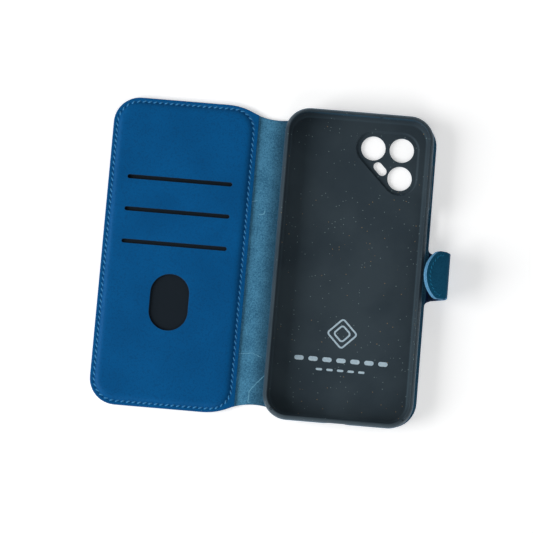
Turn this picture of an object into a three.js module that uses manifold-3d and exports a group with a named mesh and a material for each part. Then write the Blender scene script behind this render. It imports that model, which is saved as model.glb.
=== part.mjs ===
// A leather wallet case for a phone, lying open with its inside up: a front cover with three card slots
// and a thumb window, a suede spine, a moulded phone shell on a leather back, and a clasp strap whose
// tab folds back over it. Millimetres, +Z up, +X from the front cover to the shell, +Y to the phone's top.
import * as THREE from "three";
import { mergeVertices } from "three/addons/utils/BufferGeometryUtils.js";
import Module from "manifold-3d";

const wasm = await Module();
wasm.setup();

// ---- Driving dimensions. x = 0 is the middle of the phone shell, y = 0 the middle of its length.

const phone = { width: 75.5, length: 162, thickness: 10.5 };
const leather = 1.1; // thickness of the outer leather
const glueLine = 0.1; // gap between layers that are bonded or lie on each other
const foldGap = 0.15; // from a fold's axis to the edge of the piece on either side
const pocketFit = 0.15; // round the magnet and round the keeper plate

const blank = {
  frontEdge: -131.5, // x of the free edge of the front cover
  backEdge: 41.6, // x of the edge beside the clasp
  halfLength: 82.35,
  cornerRadius: 14,
  waistX: -43.5, // the narrowest place of the spine
  waistHalf: 76.2, // half the length there
  waistRun: 27.6, // along x, from the waist to where the edge is straight again
};

const coverFold = { x: -53.9, z: 1.2 }; // front cover to spine
const spineFold = { x: -39.7, z: 1.6 }; // spine to back

const shell = {
  fit: 0.1, // round the phone
  wall: 1.8,
  floor: 1.3,
  lip: 0.7, // height of the rim above the phone
  cornerRadius: 13.3, // outside, at the widest height
  base: leather + 3 * glueLine, // z of the underside: leather, bonding film and the gaps between
  outerRound: { height: 6, inset: 3.6 }, // the quarter-round of the outside, above and below
  innerRound: { height: 5, inset: 2.4 }, // the quarter-round of the inside
  outerStraight: 1.4, // height of the upright part of the wall, outside
  innerStraight: 2.2,
};

const camera = {
  lensPitch: 15.2,
  lensRadius: 6.5,
  corner: { x: 23.25, y: 65.4 }, // the lens at the island's right angle
  margin: 9.45, // from a lens centre to the edge of the island
  wall: 1.2,
  slope: 1, // how far the recess narrows towards its floor
  bottom: 0.15, // z of the island's underside
  flash: { width: 4.7, length: 8.2, offset: 4.5 }, // offset from the line between the two far lenses
  clearance: 0.4, // between the island and the cut-out in the leather
};

const film = { inset: 5.6, cornerRadius: 8 }; // bonding film, inset from the shell's widest outline
const strap = { y: -1.4, width: 25, foldX: 43.2, length: 17.2, rootFillet: 3, restAngle: 63 };
const strapLining = { thickness: 0.6, start: 0.45 }; // start: from the fold to the lining's end
const tab = { depth: 13, layer: 1.5, tipRadius: 15, shoulderRadius: 4, foldLift: 0.8 };
const magnet = { depth: 5, width: 12, thickness: 1, fromFold: 5.5 };
const keeper = { width: 9, length: 24, thickness: 0.5, fromEdge: 3.7 };

const panel = {
  top: 3.6, // z of the face with the slots
  borderTop: 2.3, // z of the flat border that is stitched to the outer leather
  thickness: 1,
  foldMargin: 0.25,
  rise: { start: 0.6, run: 2 }, // inside the stitches: where the face starts to rise, and over what width
  hollow: 1.2, // from the stitches in to the hollow that holds the board and the pockets
};
const board = { thickness: 0.6, inset: 3.5, cornerRadius: 10.5 };
const slots = { count: 3, length: 55.9, width: 2, lowestY: 4.7, pitch: 17.3 };
const thumbWindow = { width: 20.5, length: 29.9, y: -26.1 };
const liner = { width: 61, thickness: 0.15, depth: 78, aboveSlot: 5 };
const thread = { width: 0.55, height: 0.35, proud: 0.05, groove: 0.9 };
const seam = { edge: 2.1, foldSide: 2.3, outerRadius: 11.9, foldRadius: 11 }; // from the panel's edges
const tabSeam = 2.2; // from the tab's edge

const port = { width: 12.5, height: 6.2 }; // charging port
const speaker = { x: 20, width: 14, height: 2.6 };
const microphone = { x: -11, radius: 1 };
const powerKey = { y: 25.5, length: 16, height: 5 };
const volumeKeys = { y: 46, length: 24, height: 4.2, proud: 0.55, slope: 0.8 };
const rimNotch = { width: 1.6, depth: 0.9, height: 0.8 };

const arcSteps = 5; // curve divisions of an outline's arcs
const arcTrim = 0.05; // taken off the radius of a slot's ends, so that two arcs never meet in one point
const far = 200; // beyond every face of the case

// ---- Colours

/** A material of one plain colour. */
function finish(color, roughness, metalness = 0) {
  return new THREE.MeshStandardMaterial({ color, roughness, metalness });
}

const blueLeather = finish(0x0f5a96, 0.55);
const navyLeather = finish(0x14304f, 0.6);
const suede = finish(0x3f7f9d, 0.95);
const moulding = finish(0x2b353c, 0.6);
const boardGrey = finish(0x8a8478, 0.9);
const blackCloth = finish(0x14191c, 0.9);
const blueThread = finish(0x3b78ad, 0.7);
const steel = finish(0xa7abad, 0.35, 1);
const clearFilm = finish(0xd8dcd8, 0.4);

// ---- Small tools

const degrees = (angle) => (angle * Math.PI) / 180;

/** A geometry as a manifold-3d solid. */
function solidOf(geometry) {
  const bare = geometry.clone();
  bare.deleteAttribute("normal");
  bare.deleteAttribute("uv");
  const merged = mergeVertices(bare, 1e-4);
  const triVerts = new Uint32Array(merged.index.array);
  const vertProperties = merged.attributes.position.array;
  return new wasm.Manifold(new wasm.Mesh({ numProp: 3, vertProperties, triVerts }));
}

/** A solid as a named three.js mesh. */
function piece(name, solid, material) {
  const found = solid.getMesh();
  const geometry = new THREE.BufferGeometry();
  geometry.setAttribute("position", new THREE.BufferAttribute(found.vertProperties, 3));
  geometry.setIndex(new THREE.BufferAttribute(found.triVerts, 1));
  geometry.computeVertexNormals();
  const mesh = new THREE.Mesh(geometry, material);
  mesh.name = name;
  return mesh;
}

/** A flat plate of a shape, from z low to z high. */
function plate(shape, low, high) {
  const options = { depth: high - low, bevelEnabled: false, curveSegments: arcSteps };
  return solidOf(new THREE.ExtrudeGeometry(shape, options).translate(0, 0, low));
}

/** A box between two corners. */
function box(low, high) {
  const size = high.map((value, axis) => value - low[axis]);
  const middle = high.map((value, axis) => (value + low[axis]) / 2);
  return solidOf(new THREE.BoxGeometry(...size).translate(...middle));
}

/** A rectangle with round corners, centred on x, y. */
function roundedRectangle(x, y, halfX, halfY, radius) {
  const shape = new THREE.Shape();
  shape.absarc(x + halfX - radius, y - halfY + radius, radius, degrees(-90), 0);
  shape.absarc(x + halfX - radius, y + halfY - radius, radius, 0, degrees(90));
  shape.absarc(x - halfX + radius, y + halfY - radius, radius, degrees(90), degrees(180));
  shape.absarc(x - halfX + radius, y - halfY + radius, radius, degrees(180), degrees(270));
  return shape;
}

/** A rounded rectangle that swells by a quarter-ellipse above its foot and draws in again to its top. */
function bulgingBlock(halfX, halfY, radius, bottom, round, straight) {
  const shape = roundedRectangle(0, 0, halfX - round.inset, halfY - round.inset, radius - round.inset);
  const bevel = { bevelThickness: round.height, bevelSize: round.inset, bevelSegments: 4 };
  const block = new THREE.ExtrudeGeometry(shape, { depth: straight, curveSegments: arcSteps, ...bevel });
  return solidOf(block.translate(0, 0, bottom + round.height));
}

/** A slot's outline: a rectangle with round ends, centred on x, y. */
function slotShape(x, y, sizeX, sizeY) {
  return roundedRectangle(x, y, sizeX / 2, sizeY / 2, Math.min(sizeX, sizeY) / 2 - arcTrim);
}

/** The part of a solid between two x values. */
function between(solid, lowX, highX) {
  return solid.intersect(box([lowX, -far, -far], [highX, far, far]));
}

/** A solid with each of the cuts taken from it. */
function cutBy(solid, cuts) {
  return cuts.reduce((left, cut) => left.subtract(cut), solid);
}

// ---- The leather, cut from one blank: front cover, spine and back

/** The blank's outline: round corners, and long sides that draw in to a waist at the spine. */
function blankShape() {
  const half = blank.halfLength;
  const radius = blank.cornerRadius;
  const left = blank.frontEdge + radius;
  const right = blank.backEdge - radius;
  const drop = blank.halfLength - blank.waistHalf;
  const run = blank.waistRun;
  const sweep = (run * run) / (4 * drop) + drop / 4; // radius of the waist's arcs
  const turn = Math.asin(run / 2 / sweep);
  const shape = new THREE.Shape();
  shape.absarc(left, -half + radius, radius, degrees(180), degrees(270));
  shape.absarc(blank.waistX - run, -half + sweep, sweep, degrees(-90), degrees(-90) + turn);
  shape.absarc(blank.waistX, -blank.waistHalf - sweep, sweep, degrees(90) + turn, degrees(90) - turn, true);
  shape.absarc(blank.waistX + run, -half + sweep, sweep, degrees(-90) - turn, degrees(-90));
  shape.absarc(right, -half + radius, radius, degrees(-90), 0);
  shape.absarc(right, half - radius, radius, 0, degrees(90));
  shape.absarc(blank.waistX + run, half - sweep, sweep, degrees(90), degrees(90) + turn);
  shape.absarc(blank.waistX, blank.waistHalf + sweep, sweep, degrees(-90) + turn, degrees(-90) - turn, true);
  shape.absarc(blank.waistX - run, half - sweep, sweep, degrees(90) - turn, degrees(90));
  shape.absarc(left, half - radius, radius, degrees(90), degrees(180));
  return shape;
}

/** The flat strap with the fillets that join it to the back, as far as the tab's fold. */
function strapShape() {
  const { y, width, rootFillet } = strap;
  const half = width / 2;
  const root = blank.backEdge;
  const start = root - rootFillet; // well inside the back, which it is joined to
  const shape = new THREE.Shape();
  shape.moveTo(start, y - half - rootFillet);
  shape.lineTo(root, y - half - rootFillet);
  shape.absarc(root + rootFillet, y - half - rootFillet, rootFillet, degrees(180), degrees(90), true);
  shape.lineTo(strap.foldX + strap.length - foldGap, y - half);
  shape.lineTo(strap.foldX + strap.length - foldGap, y + half);
  shape.absarc(root + rootFillet, y + half + rootFillet, rootFillet, degrees(270), degrees(180), true);
  shape.lineTo(start, y + half + rootFillet);
  return shape;
}

// ---- The phone shell

/** The camera island's outline: a round-cornered right triangle about its three lenses. */
function islandShape(margin) {
  const { x, y } = camera.corner;
  const pitch = camera.lensPitch;
  const shape = new THREE.Shape();
  shape.absarc(x, y, margin, 0, degrees(90));
  shape.absarc(x - pitch, y, margin, degrees(90), degrees(225));
  shape.absarc(x, y - pitch, margin, degrees(225), degrees(360));
  return shape;
}

/** The holes for the three lenses and the flash, right through the island. */
function cameraHoles() {
  const { x, y } = camera.corner;
  const pitch = camera.lensPitch;
  const low = -1; // the bores start under the case and end above the recess's floor
  const high = 3;
  const centres = [
    [x, y],
    [x - pitch, y],
    [x, y - pitch],
  ];
  const bore = ([holeX, holeY]) =>
    plate(roundedRectangle(holeX, holeY, camera.lensRadius, camera.lensRadius, camera.lensRadius), low, high);
  const { width, length, offset } = camera.flash;
  const slot = slotShape(0, 0, length, width);
  const flash = new THREE.ExtrudeGeometry(slot, {
    depth: high - low,
    bevelEnabled: false,
    curveSegments: arcSteps,
  });
  const inwards = pitch / 2 + offset * Math.SQRT1_2; // from the corner lens, along x and along y
  flash.rotateZ(degrees(-45)).translate(x - inwards, y - inwards, low);
  return [...centres.map(bore), solidOf(flash)];
}

/** A slot-shaped cutter through a wall: along is "x" or "y", the direction it cuts in. */
function wallCutter(along, across, height, place) {
  const depth = 4 * shell.wall;
  const shape = slotShape(0, 0, across, height);
  const cutter = new THREE.ExtrudeGeometry(shape, { depth, bevelEnabled: false, curveSegments: arcSteps });
  cutter.translate(0, 0, -depth / 2).rotateX(degrees(90));
  if (along === "x") cutter.rotateZ(degrees(90));
  return solidOf(cutter.translate(...place));
}

/** The cut-outs in the shell's walls. */
function wallOpenings(halfX, halfY, middleZ) {
  const hole = 2 * microphone.radius;
  return [
    wallCutter("y", port.width, port.height, [0, -halfY, middleZ]),
    wallCutter("y", speaker.width, speaker.height, [speaker.x, -halfY, middleZ]),
    wallCutter("y", hole, hole, [microphone.x, -halfY, middleZ]),
    wallCutter("y", hole, hole, [-microphone.x, halfY, middleZ]),
    wallCutter("x", powerKey.length, powerKey.height, [halfX, powerKey.y, middleZ]),
  ];
}

/** The two small notches in the rim, at the corners beside the charging port. */
function rimNotches(halfX, halfY, top) {
  const inner = shell.cornerRadius - shell.wall - rimNotch.depth; // from the corner's centre to the notch
  return [-1, 1].map((side) => {
    const notch = new THREE.BoxGeometry(rimNotch.width, 2 * rimNotch.depth, 2 * rimNotch.height);
    notch.translate(0, -inner, top).rotateZ(degrees(45 * side));
    const cornerX = side * (halfX - shell.cornerRadius);
    return solidOf(notch.translate(cornerX, -halfY + shell.cornerRadius, 0));
  });
}

/** The low dome over the phone's volume keys, on the outside of the wall. */
function keyDome(halfX, middleZ) {
  const depth = shell.wall / 3; // how far it is sunk into the wall
  const dome = new THREE.ExtrudeGeometry(slotShape(0, 0, volumeKeys.length, volumeKeys.height), {
    depth,
    curveSegments: arcSteps,
    bevelThickness: volumeKeys.proud,
    bevelSize: volumeKeys.slope,
    bevelSegments: 2,
    bevelOffset: -volumeKeys.slope,
  });
  dome.translate(0, 0, -depth).rotateX(degrees(90)).rotateZ(degrees(90));
  return solidOf(dome.translate(halfX, volumeKeys.y, middleZ));
}

/** The hollow of the camera island, narrowing towards its floor. */
function cameraRecess(floor) {
  const recess = new THREE.ExtrudeGeometry(islandShape(camera.margin - camera.slope), {
    depth: shell.floor,
    curveSegments: arcSteps,
    bevelThickness: floor - shell.base,
    bevelSize: camera.slope,
    bevelSegments: 2,
  });
  return solidOf(recess.translate(0, 0, floor));
}

function makeShell() {
  const cavityX = phone.width / 2 + shell.fit;
  const cavityY = phone.length / 2 + shell.fit;
  const halfX = cavityX + shell.wall;
  const halfY = cavityY + shell.wall;
  const floor = shell.base + shell.floor;
  const top = floor + phone.thickness + shell.lip;
  const middleZ = floor + phone.thickness / 2;
  const outer = shell.cornerRadius;
  const inner = outer - shell.wall;
  const outside = bulgingBlock(halfX, halfY, outer, shell.base, shell.outerRound, shell.outerStraight);
  const inside = bulgingBlock(cavityX, cavityY, inner, floor, shell.innerRound, shell.innerStraight);
  const tray = outside.intersect(box([-far, -far, shell.base], [far, far, top]));
  const island = plate(islandShape(camera.margin + camera.wall), camera.bottom, floor);
  const body = tray.add(island).subtract(inside).add(keyDome(halfX, middleZ));
  const cuts = [
    cameraRecess(floor),
    ...cameraHoles(),
    ...wallOpenings(halfX, halfY, middleZ),
    ...rimNotches(halfX, halfY, top),
  ];
  return cutBy(body, cuts);
}

// ---- The front cover's layers

const coverMiddle = -93.3; // of the slots and the window
const coverEnd = coverFold.x - panel.foldMargin;

/** The stitch line's outline, moved outwards by offset. */
function seamShape(offset) {
  const left = blank.frontEdge + seam.edge - offset;
  const right = coverEnd - seam.foldSide + offset;
  const half = blank.halfLength - seam.edge + offset;
  const outer = seam.outerRadius + offset;
  const inner = seam.foldRadius + offset;
  const shape = new THREE.Shape();
  shape.absarc(right - inner, -half + inner, inner, degrees(-90), 0);
  shape.absarc(right - inner, half - inner, inner, 0, degrees(90));
  shape.absarc(left + outer, half - outer, outer, degrees(90), degrees(180));
  shape.absarc(left + outer, -half + outer, outer, degrees(180), degrees(270));
  return shape;
}

/** A closed band of the given width along the stitch line. */
function seamBand(width, low, high) {
  return plate(seamShape(width / 2), low, high).subtract(plate(seamShape(-width / 2), low - 1, high + 1));
}

const slotHeights = Array.from({ length: slots.count }, (_, index) => slots.lowestY + slots.pitch * index);

/** The panel's leather: a flat border, and a face raised over the board and the pockets. */
function panelSheet() {
  const low = leather + glueLine;
  const height = panel.top - panel.borderTop;
  const face = new THREE.ExtrudeGeometry(seamShape(-panel.rise.start - panel.rise.run), {
    depth: height,
    curveSegments: arcSteps,
    bevelThickness: height,
    bevelSize: panel.rise.run,
    bevelSegments: 3,
  }).translate(0, 0, panel.borderTop - height);
  const raised = solidOf(face).intersect(box([-far, -far, low], [far, far, far]));
  const border = between(plate(blankShape(), low, panel.borderTop), blank.frontEdge - 1, coverEnd);
  return border.add(raised).subtract(plate(seamShape(-panel.hollow), 0, panel.top - panel.thickness));
}

function makeCardPanel() {
  const cardSlots = slotHeights.map((y) => slotShape(coverMiddle, y, slots.length, slots.width));
  const opening = slotShape(coverMiddle, thumbWindow.y, thumbWindow.width, thumbWindow.length);
  const through = [...cardSlots, opening].map((shape) => plate(shape, 0, panel.top + 1));
  const groove = seamBand(thread.groove, panel.borderTop - thread.height, panel.top + 1);
  return cutBy(panelSheet(), [...through, groove]);
}

/** The liner of one pocket, from a little above its slot to the pocket's foot. */
function makeLiner(index) {
  const slotY = slotHeights[slots.count - 1 - index];
  const low = leather + board.thickness + 2 * glueLine + index * (liner.thickness + glueLine / 2);
  const foot = slotY - liner.depth;
  const head = slotY + liner.aboveSlot;
  const half = liner.width / 2;
  return box([coverMiddle - half, foot, low], [coverMiddle + half, head, low + liner.thickness]);
}

function keeperBox(margin, low, high) {
  const left = blank.frontEdge + keeper.fromEdge;
  const half = keeper.length / 2 + margin;
  return box([left - margin, strap.y - half, low], [left + keeper.width + margin, strap.y + half, high]);
}

function makeBoard() {
  const low = leather + glueLine;
  const left = blank.frontEdge + board.inset;
  const right = coverEnd - board.inset;
  const middle = (left + right) / 2;
  const outline = roundedRectangle(
    middle,
    0,
    (right - left) / 2,
    blank.halfLength - board.inset,
    board.cornerRadius,
  );
  return plate(outline, low, low + board.thickness).subtract(keeperBox(pocketFit, low - 1, low + 1));
}

function makeFrontLeather() {
  const sheet = between(plate(blankShape(), 0, leather), blank.frontEdge - 1, coverFold.x - foldGap);
  return sheet.subtract(seamBand(thread.groove, -1, thread.height));
}

function makeFrontCover() {
  const group = new THREE.Group();
  const boardLow = leather + glueLine;
  group.add(piece("front_leather", makeFrontLeather(), blueLeather));
  group.add(piece("cover_board", makeBoard(), boardGrey));
  group.add(piece("keeper_plate", keeperBox(0, boardLow, boardLow + keeper.thickness), steel));
  for (let index = 0; index < slots.count; index += 1) {
    group.add(piece(`pocket_liner_${index + 1}`, makeLiner(index), blackCloth));
  }
  group.add(piece("card_panel", makeCardPanel(), blueLeather));
  const innerLow = panel.borderTop - thread.height + thread.proud;
  const inner = seamBand(thread.width, innerLow, panel.borderTop + thread.proud);
  group.add(piece("panel_stitching", inner, blueThread));
  const outer = seamBand(thread.width, thread.proud / 2, thread.height - thread.proud);
  group.add(piece("outer_stitching", outer, blueThread));
  return group;
}

// ---- The back, the spine and the clasp

function makeBack() {
  const group = new THREE.Group();
  const start = spineFold.x + foldGap;
  const flatStrap = between(plate(strapShape(), 0, leather), 0, strap.foldX - foldGap);
  const cutOut = plate(islandShape(camera.margin + camera.wall + camera.clearance), -1, leather + 1);
  const back = between(plate(blankShape(), 0, leather), start, blank.backEdge + 1).add(flatStrap);
  group.add(piece("back_leather", back.subtract(cutOut), navyLeather));
  const halfX = phone.width / 2 + shell.fit + shell.wall - film.inset;
  const halfY = phone.length / 2 + shell.fit + shell.wall - film.inset;
  const low = leather + glueLine;
  const sheet = plate(roundedRectangle(0, 0, halfX, halfY, film.cornerRadius), low, low + glueLine);
  group.add(piece("bonding_film", sheet.subtract(cutOut), clearFilm));
  group.add(piece("phone_shell", makeShell(), moulding));
  return group;
}

function makeSpine() {
  const strip = plate(blankShape(), 0, leather);
  return piece("spine_leather", between(strip, coverFold.x + foldGap, spineFold.x - foldGap), suede);
}

/** The tab's outline, from its fold at u = 0 to its round tip, moved inwards by inset. */
function tabShape(inset = 0) {
  const half = strap.width / 2 - inset;
  const tip = tab.depth - inset;
  const big = tab.tipRadius - inset;
  const small = tab.shoulderRadius - inset;
  const centre = tip - big;
  const reach = Math.sqrt((big - small) ** 2 - (half - small) ** 2);
  const turn = Math.atan2(half - small, reach);
  const shape = new THREE.Shape();
  shape.moveTo(foldGap + inset, -half);
  shape.absarc(centre + reach, -half + small, small, degrees(-90), -turn);
  shape.absarc(centre, 0, big, -turn, turn);
  shape.absarc(centre + reach, half - small, small, turn, degrees(90));
  shape.lineTo(foldGap + inset, half);
  return shape;
}

/** A closed band along the tab's stitch line. */
function tabBand(width, low, high) {
  const outer = plate(tabShape(tabSeam - width / 2), low, high);
  return outer.subtract(plate(tabShape(tabSeam + width / 2), low - 1, high + 1));
}

/** The tab's layers, with its underside at z = 0 and its fold along y at the origin. */
function makeTab() {
  const group = new THREE.Group();
  const upperLow = tab.layer + glueLine;
  const top = upperLow + tab.layer;
  const groove = thread.height;
  const magnetHalf = magnet.width / 2;
  const magnetEnd = magnet.fromFold + magnet.depth;
  const pocketFloor = tab.layer - magnet.thickness - glueLine;
  const pocket = box(
    [magnet.fromFold - pocketFit, -magnetHalf - pocketFit, pocketFloor],
    [magnetEnd + pocketFit, magnetHalf + pocketFit, top],
  );
  const upper = plate(tabShape(), upperLow, top).subtract(tabBand(thread.groove, top - groove, top + 1));
  const lower = plate(tabShape(), 0, tab.layer).subtract(pocket).subtract(tabBand(thread.groove, -1, groove));
  const bar = box(
    [magnet.fromFold, -magnetHalf, pocketFloor + glueLine],
    [magnetEnd, magnetHalf, pocketFloor + glueLine + magnet.thickness],
  );
  group.add(piece("tab_leather", upper, blueLeather));
  group.add(piece("tab_lining", lower, suede));
  group.add(piece("tab_magnet", bar, steel));
  const threadTop = tabBand(thread.width, top - groove + thread.proud, top + thread.proud);
  group.add(piece("tab_stitching", threadTop, blueThread));
  const threadUnder = tabBand(thread.width, 0, groove - thread.proud);
  group.add(piece("tab_stitching_under", threadUnder, blueThread));
  return group;
}

/** The strap and its tab. The strap leans out at its rest angle, and the tab is folded back square to it. */
function makeClasp() {
  const end = strap.foldX + strap.length;
  const outer = between(plate(strapShape(), 0, leather), strap.foldX + foldGap, end);
  const low = leather + glueLine;
  const lining = plate(strapShape(), low, low + strapLining.thickness);
  const inner = between(lining, strap.foldX + strapLining.start, end);
  const layers = new THREE.Group();
  layers.position.set(-strap.foldX, 0, -leather);
  layers.add(piece("strap_leather", outer, navyLeather));
  layers.add(piece("strap_lining", inner, navyLeather));
  const tabGroup = makeTab();
  tabGroup.rotation.set(0, degrees(90), degrees(180));
  tabGroup.position.set(strap.length, strap.y, tab.foldLift);
  const turned = new THREE.Group();
  turned.position.set(strap.foldX, 0, leather);
  turned.rotation.y = degrees(-strap.restAngle);
  turned.add(layers, tabGroup);
  return turned;
}

// ---- The whole case, with its origin under the middle of its outer box

const angle = degrees(strap.restAngle);
const rightReach = strap.foldX + (strap.length - foldGap) * Math.cos(angle) + leather * Math.sin(angle);
const middleX = (blank.frontEdge + rightReach) / 2;

const walletCase = new THREE.Group();
walletCase.position.x = -middleX;
walletCase.add(makeBack(), makeSpine(), makeFrontCover(), makeClasp());

export default walletCase;
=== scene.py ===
import logging
import math
from collections.abc import Iterable, Sequence
from dataclasses import dataclass
from enum import Enum

import bmesh
import bpy
from mathutils import Matrix, Vector, noise
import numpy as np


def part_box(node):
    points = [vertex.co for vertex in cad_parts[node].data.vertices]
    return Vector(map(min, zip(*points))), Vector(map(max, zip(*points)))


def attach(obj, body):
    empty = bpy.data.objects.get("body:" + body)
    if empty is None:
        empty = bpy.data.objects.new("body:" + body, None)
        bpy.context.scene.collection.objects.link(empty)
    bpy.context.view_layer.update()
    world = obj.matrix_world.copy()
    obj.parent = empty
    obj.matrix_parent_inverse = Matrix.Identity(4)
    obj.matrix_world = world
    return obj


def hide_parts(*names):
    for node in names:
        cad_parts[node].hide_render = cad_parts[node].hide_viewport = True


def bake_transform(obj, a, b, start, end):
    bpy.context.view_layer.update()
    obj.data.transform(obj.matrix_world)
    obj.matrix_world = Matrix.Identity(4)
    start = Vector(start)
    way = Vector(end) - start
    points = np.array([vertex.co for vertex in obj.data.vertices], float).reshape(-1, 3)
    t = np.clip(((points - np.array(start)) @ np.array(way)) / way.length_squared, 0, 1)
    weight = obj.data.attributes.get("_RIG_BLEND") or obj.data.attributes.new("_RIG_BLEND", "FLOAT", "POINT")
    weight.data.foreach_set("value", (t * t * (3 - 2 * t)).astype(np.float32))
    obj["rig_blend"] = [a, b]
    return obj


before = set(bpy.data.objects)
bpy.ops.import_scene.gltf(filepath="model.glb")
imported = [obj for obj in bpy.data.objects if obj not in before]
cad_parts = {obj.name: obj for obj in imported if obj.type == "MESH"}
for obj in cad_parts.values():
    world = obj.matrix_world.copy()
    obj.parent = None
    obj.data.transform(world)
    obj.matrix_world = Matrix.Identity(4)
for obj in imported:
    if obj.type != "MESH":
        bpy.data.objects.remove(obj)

LOG = logging.getLogger("wallet_case")
MM = 0.001
UP = Vector((0.0, 0.0, 1.0))
SAME_POINT = 1e-3  # points nearer to each other than this, in millimetres, are one
ON_PLANE = 1e-5  # points nearer to a cut than this lie on it

BMesh = bmesh.types.BMesh
Vert = bmesh.types.BMVert
Edge = bmesh.types.BMEdge
Face = bmesh.types.BMFace
Thing = bpy.types.Object
Coat = bpy.types.Material
Node = bpy.types.Node
Socket = bpy.types.NodeSocket
Tree = bpy.types.NodeTree
Point = tuple[float, float, float]


# ---------------------------------------------------------------- shop tools


class Combine(Enum):
    """How a tool body changes the body it is put to."""

    CUT = "DIFFERENCE"
    JOIN = "UNION"


class Side(Enum):
    """The side of a cut that is kept."""

    BELOW = -1
    ABOVE = 1


@dataclass(frozen=True)
class Arc:
    """An arc of an outline, in millimetres and degrees. It is hollow where it turns clockwise."""

    x: float
    y: float
    radius: float
    start: float
    end: float


@dataclass(frozen=True)
class Station:
    """A step of a wall: how far out of its outline, how high, and its rise between stitches."""

    out: float
    z: float
    pucker: float = 0.0


class Outline:
    """A flat closed loop whose points keep their place, the way out and their place in a seam."""

    def __init__(self, arcs: Sequence[Arc], steps: int = 10, quarter_pitch: float = 0.0) -> None:
        """Draws the loop.

        Args:
            arcs: the arcs in order round the loop, anticlockwise; straight runs join them.
            steps: how many edges an arc is made of.
            quarter_pitch: for a seam, a quarter of one stitch; every run then holds whole ones.
        """
        self.loop = bmesh.new()
        self.out = self.loop.verts.layers.float_vector.new("out")
        self.base = self.loop.verts.layers.float_vector.new("base")
        self.phase = self.loop.verts.layers.float.new("phase")
        ends: list[tuple[Vert, Vert]] = []
        for arc in arcs:
            turn = math.radians(arc.end - arc.start)
            count = steps
            if quarter_pitch:
                count = 4 * max(1, round(abs(turn) * arc.radius / quarter_pitch / 4))
            ends.append(self._draw(arc, turn, count))
        for (_, last), (first, _) in zip(ends, ends[1:] + ends[:1]):
            length = (last.co - first.co).length
            if length < SAME_POINT:
                continue
            line = self.loop.edges.new((last, first))
            near = last
            parts = 4 * max(1, round(length / quarter_pitch / 4)) if quarter_pitch else 1
            for left in range(parts, 1, -1):
                near = bmesh.utils.edge_split(line, near, 1 / left)[1]
        bmesh.ops.remove_doubles(self.loop, verts=self.loop.verts, dist=SAME_POINT)
        for index, vert in enumerate(self.walk()):
            vert[self.base] = vert.co
            vert[self.phase] = index / 4

    def _draw(self, arc: Arc, turn: float, count: int) -> tuple[Vert, Vert]:
        """Spins one point about the arc's centre.

        Args:
            arc: the arc.
            turn: its angle in radians, negative for a hollow arc.
            count: its number of edges.

        Returns:
            The arc's first and last points.
        """
        centre = Vector((arc.x, arc.y, 0.0))
        angle = math.radians(arc.start)
        start = centre + arc.radius * Vector((math.cos(angle), math.sin(angle), 0.0))
        first = self.loop.verts.new(start)
        before = set(self.loop.verts)
        spun = bmesh.ops.spin(
            self.loop, geom=[first], cent=centre, axis=UP, angle=turn, steps=count, use_merge=False
        )
        last = next(part for part in spun["geom_last"] if isinstance(part, Vert))
        sense = math.copysign(1.0, turn)
        for vert in [first, *(set(self.loop.verts) - before)]:
            vert[self.out] = (vert.co - centre).normalized() * sense
        return first, last

    def walk(self) -> list[Vert]:
        """The points in order round the loop."""
        self.loop.verts.ensure_lookup_table()
        start = self.loop.verts[0]
        order, seen = [start], {start}
        while True:
            ahead = [edge.other_vert(order[-1]) for edge in order[-1].link_edges]
            fresh = [vert for vert in ahead if vert not in seen]
            if not fresh:
                return order
            order.append(fresh[0])
            seen.add(fresh[0])

    def points(self, out: float = 0.0) -> list[Vector]:
        """The points in order, moved outwards.

        Args:
            out: how far outwards, in millimetres.

        Returns:
            The places, in millimetres.
        """
        return [vert.co + vert[self.out] * out for vert in self.walk()]


def steps(*numbers: tuple[float, ...]) -> list[Station]:
    """Stations from their numbers: how far out, how high, and the pucker if there is any."""
    return [Station(*each) for each in numbers]


def shifted(x: float, y: float, z: float = 0.0) -> Matrix:
    """The matrix of a move, in millimetres."""
    return Matrix.Translation((x, y, z))


def turned(axis: str, degrees: float) -> Matrix:
    """The matrix of a turn about an axis."""
    return Matrix.Rotation(math.radians(degrees), 4, axis)


def move(body: BMesh, matrix: Matrix) -> BMesh:
    """Moves or turns a whole body, and gives it back."""
    bmesh.ops.transform(body, matrix=matrix, verts=body.verts)
    return body


def rounded(x: float, y: float, half_x: float, half_y: float, radius: float) -> list[Arc]:
    """The arcs of a rectangle with round corners, or of a slot where the radius is half as wide."""
    return [
        Arc(x + half_x - radius, y - half_y + radius, radius, -90, 0),
        Arc(x + half_x - radius, y + half_y - radius, radius, 0, 90),
        Arc(x - half_x + radius, y + half_y - radius, radius, 90, 180),
        Arc(x - half_x + radius, y - half_y + radius, radius, 180, 270),
    ]


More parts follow.
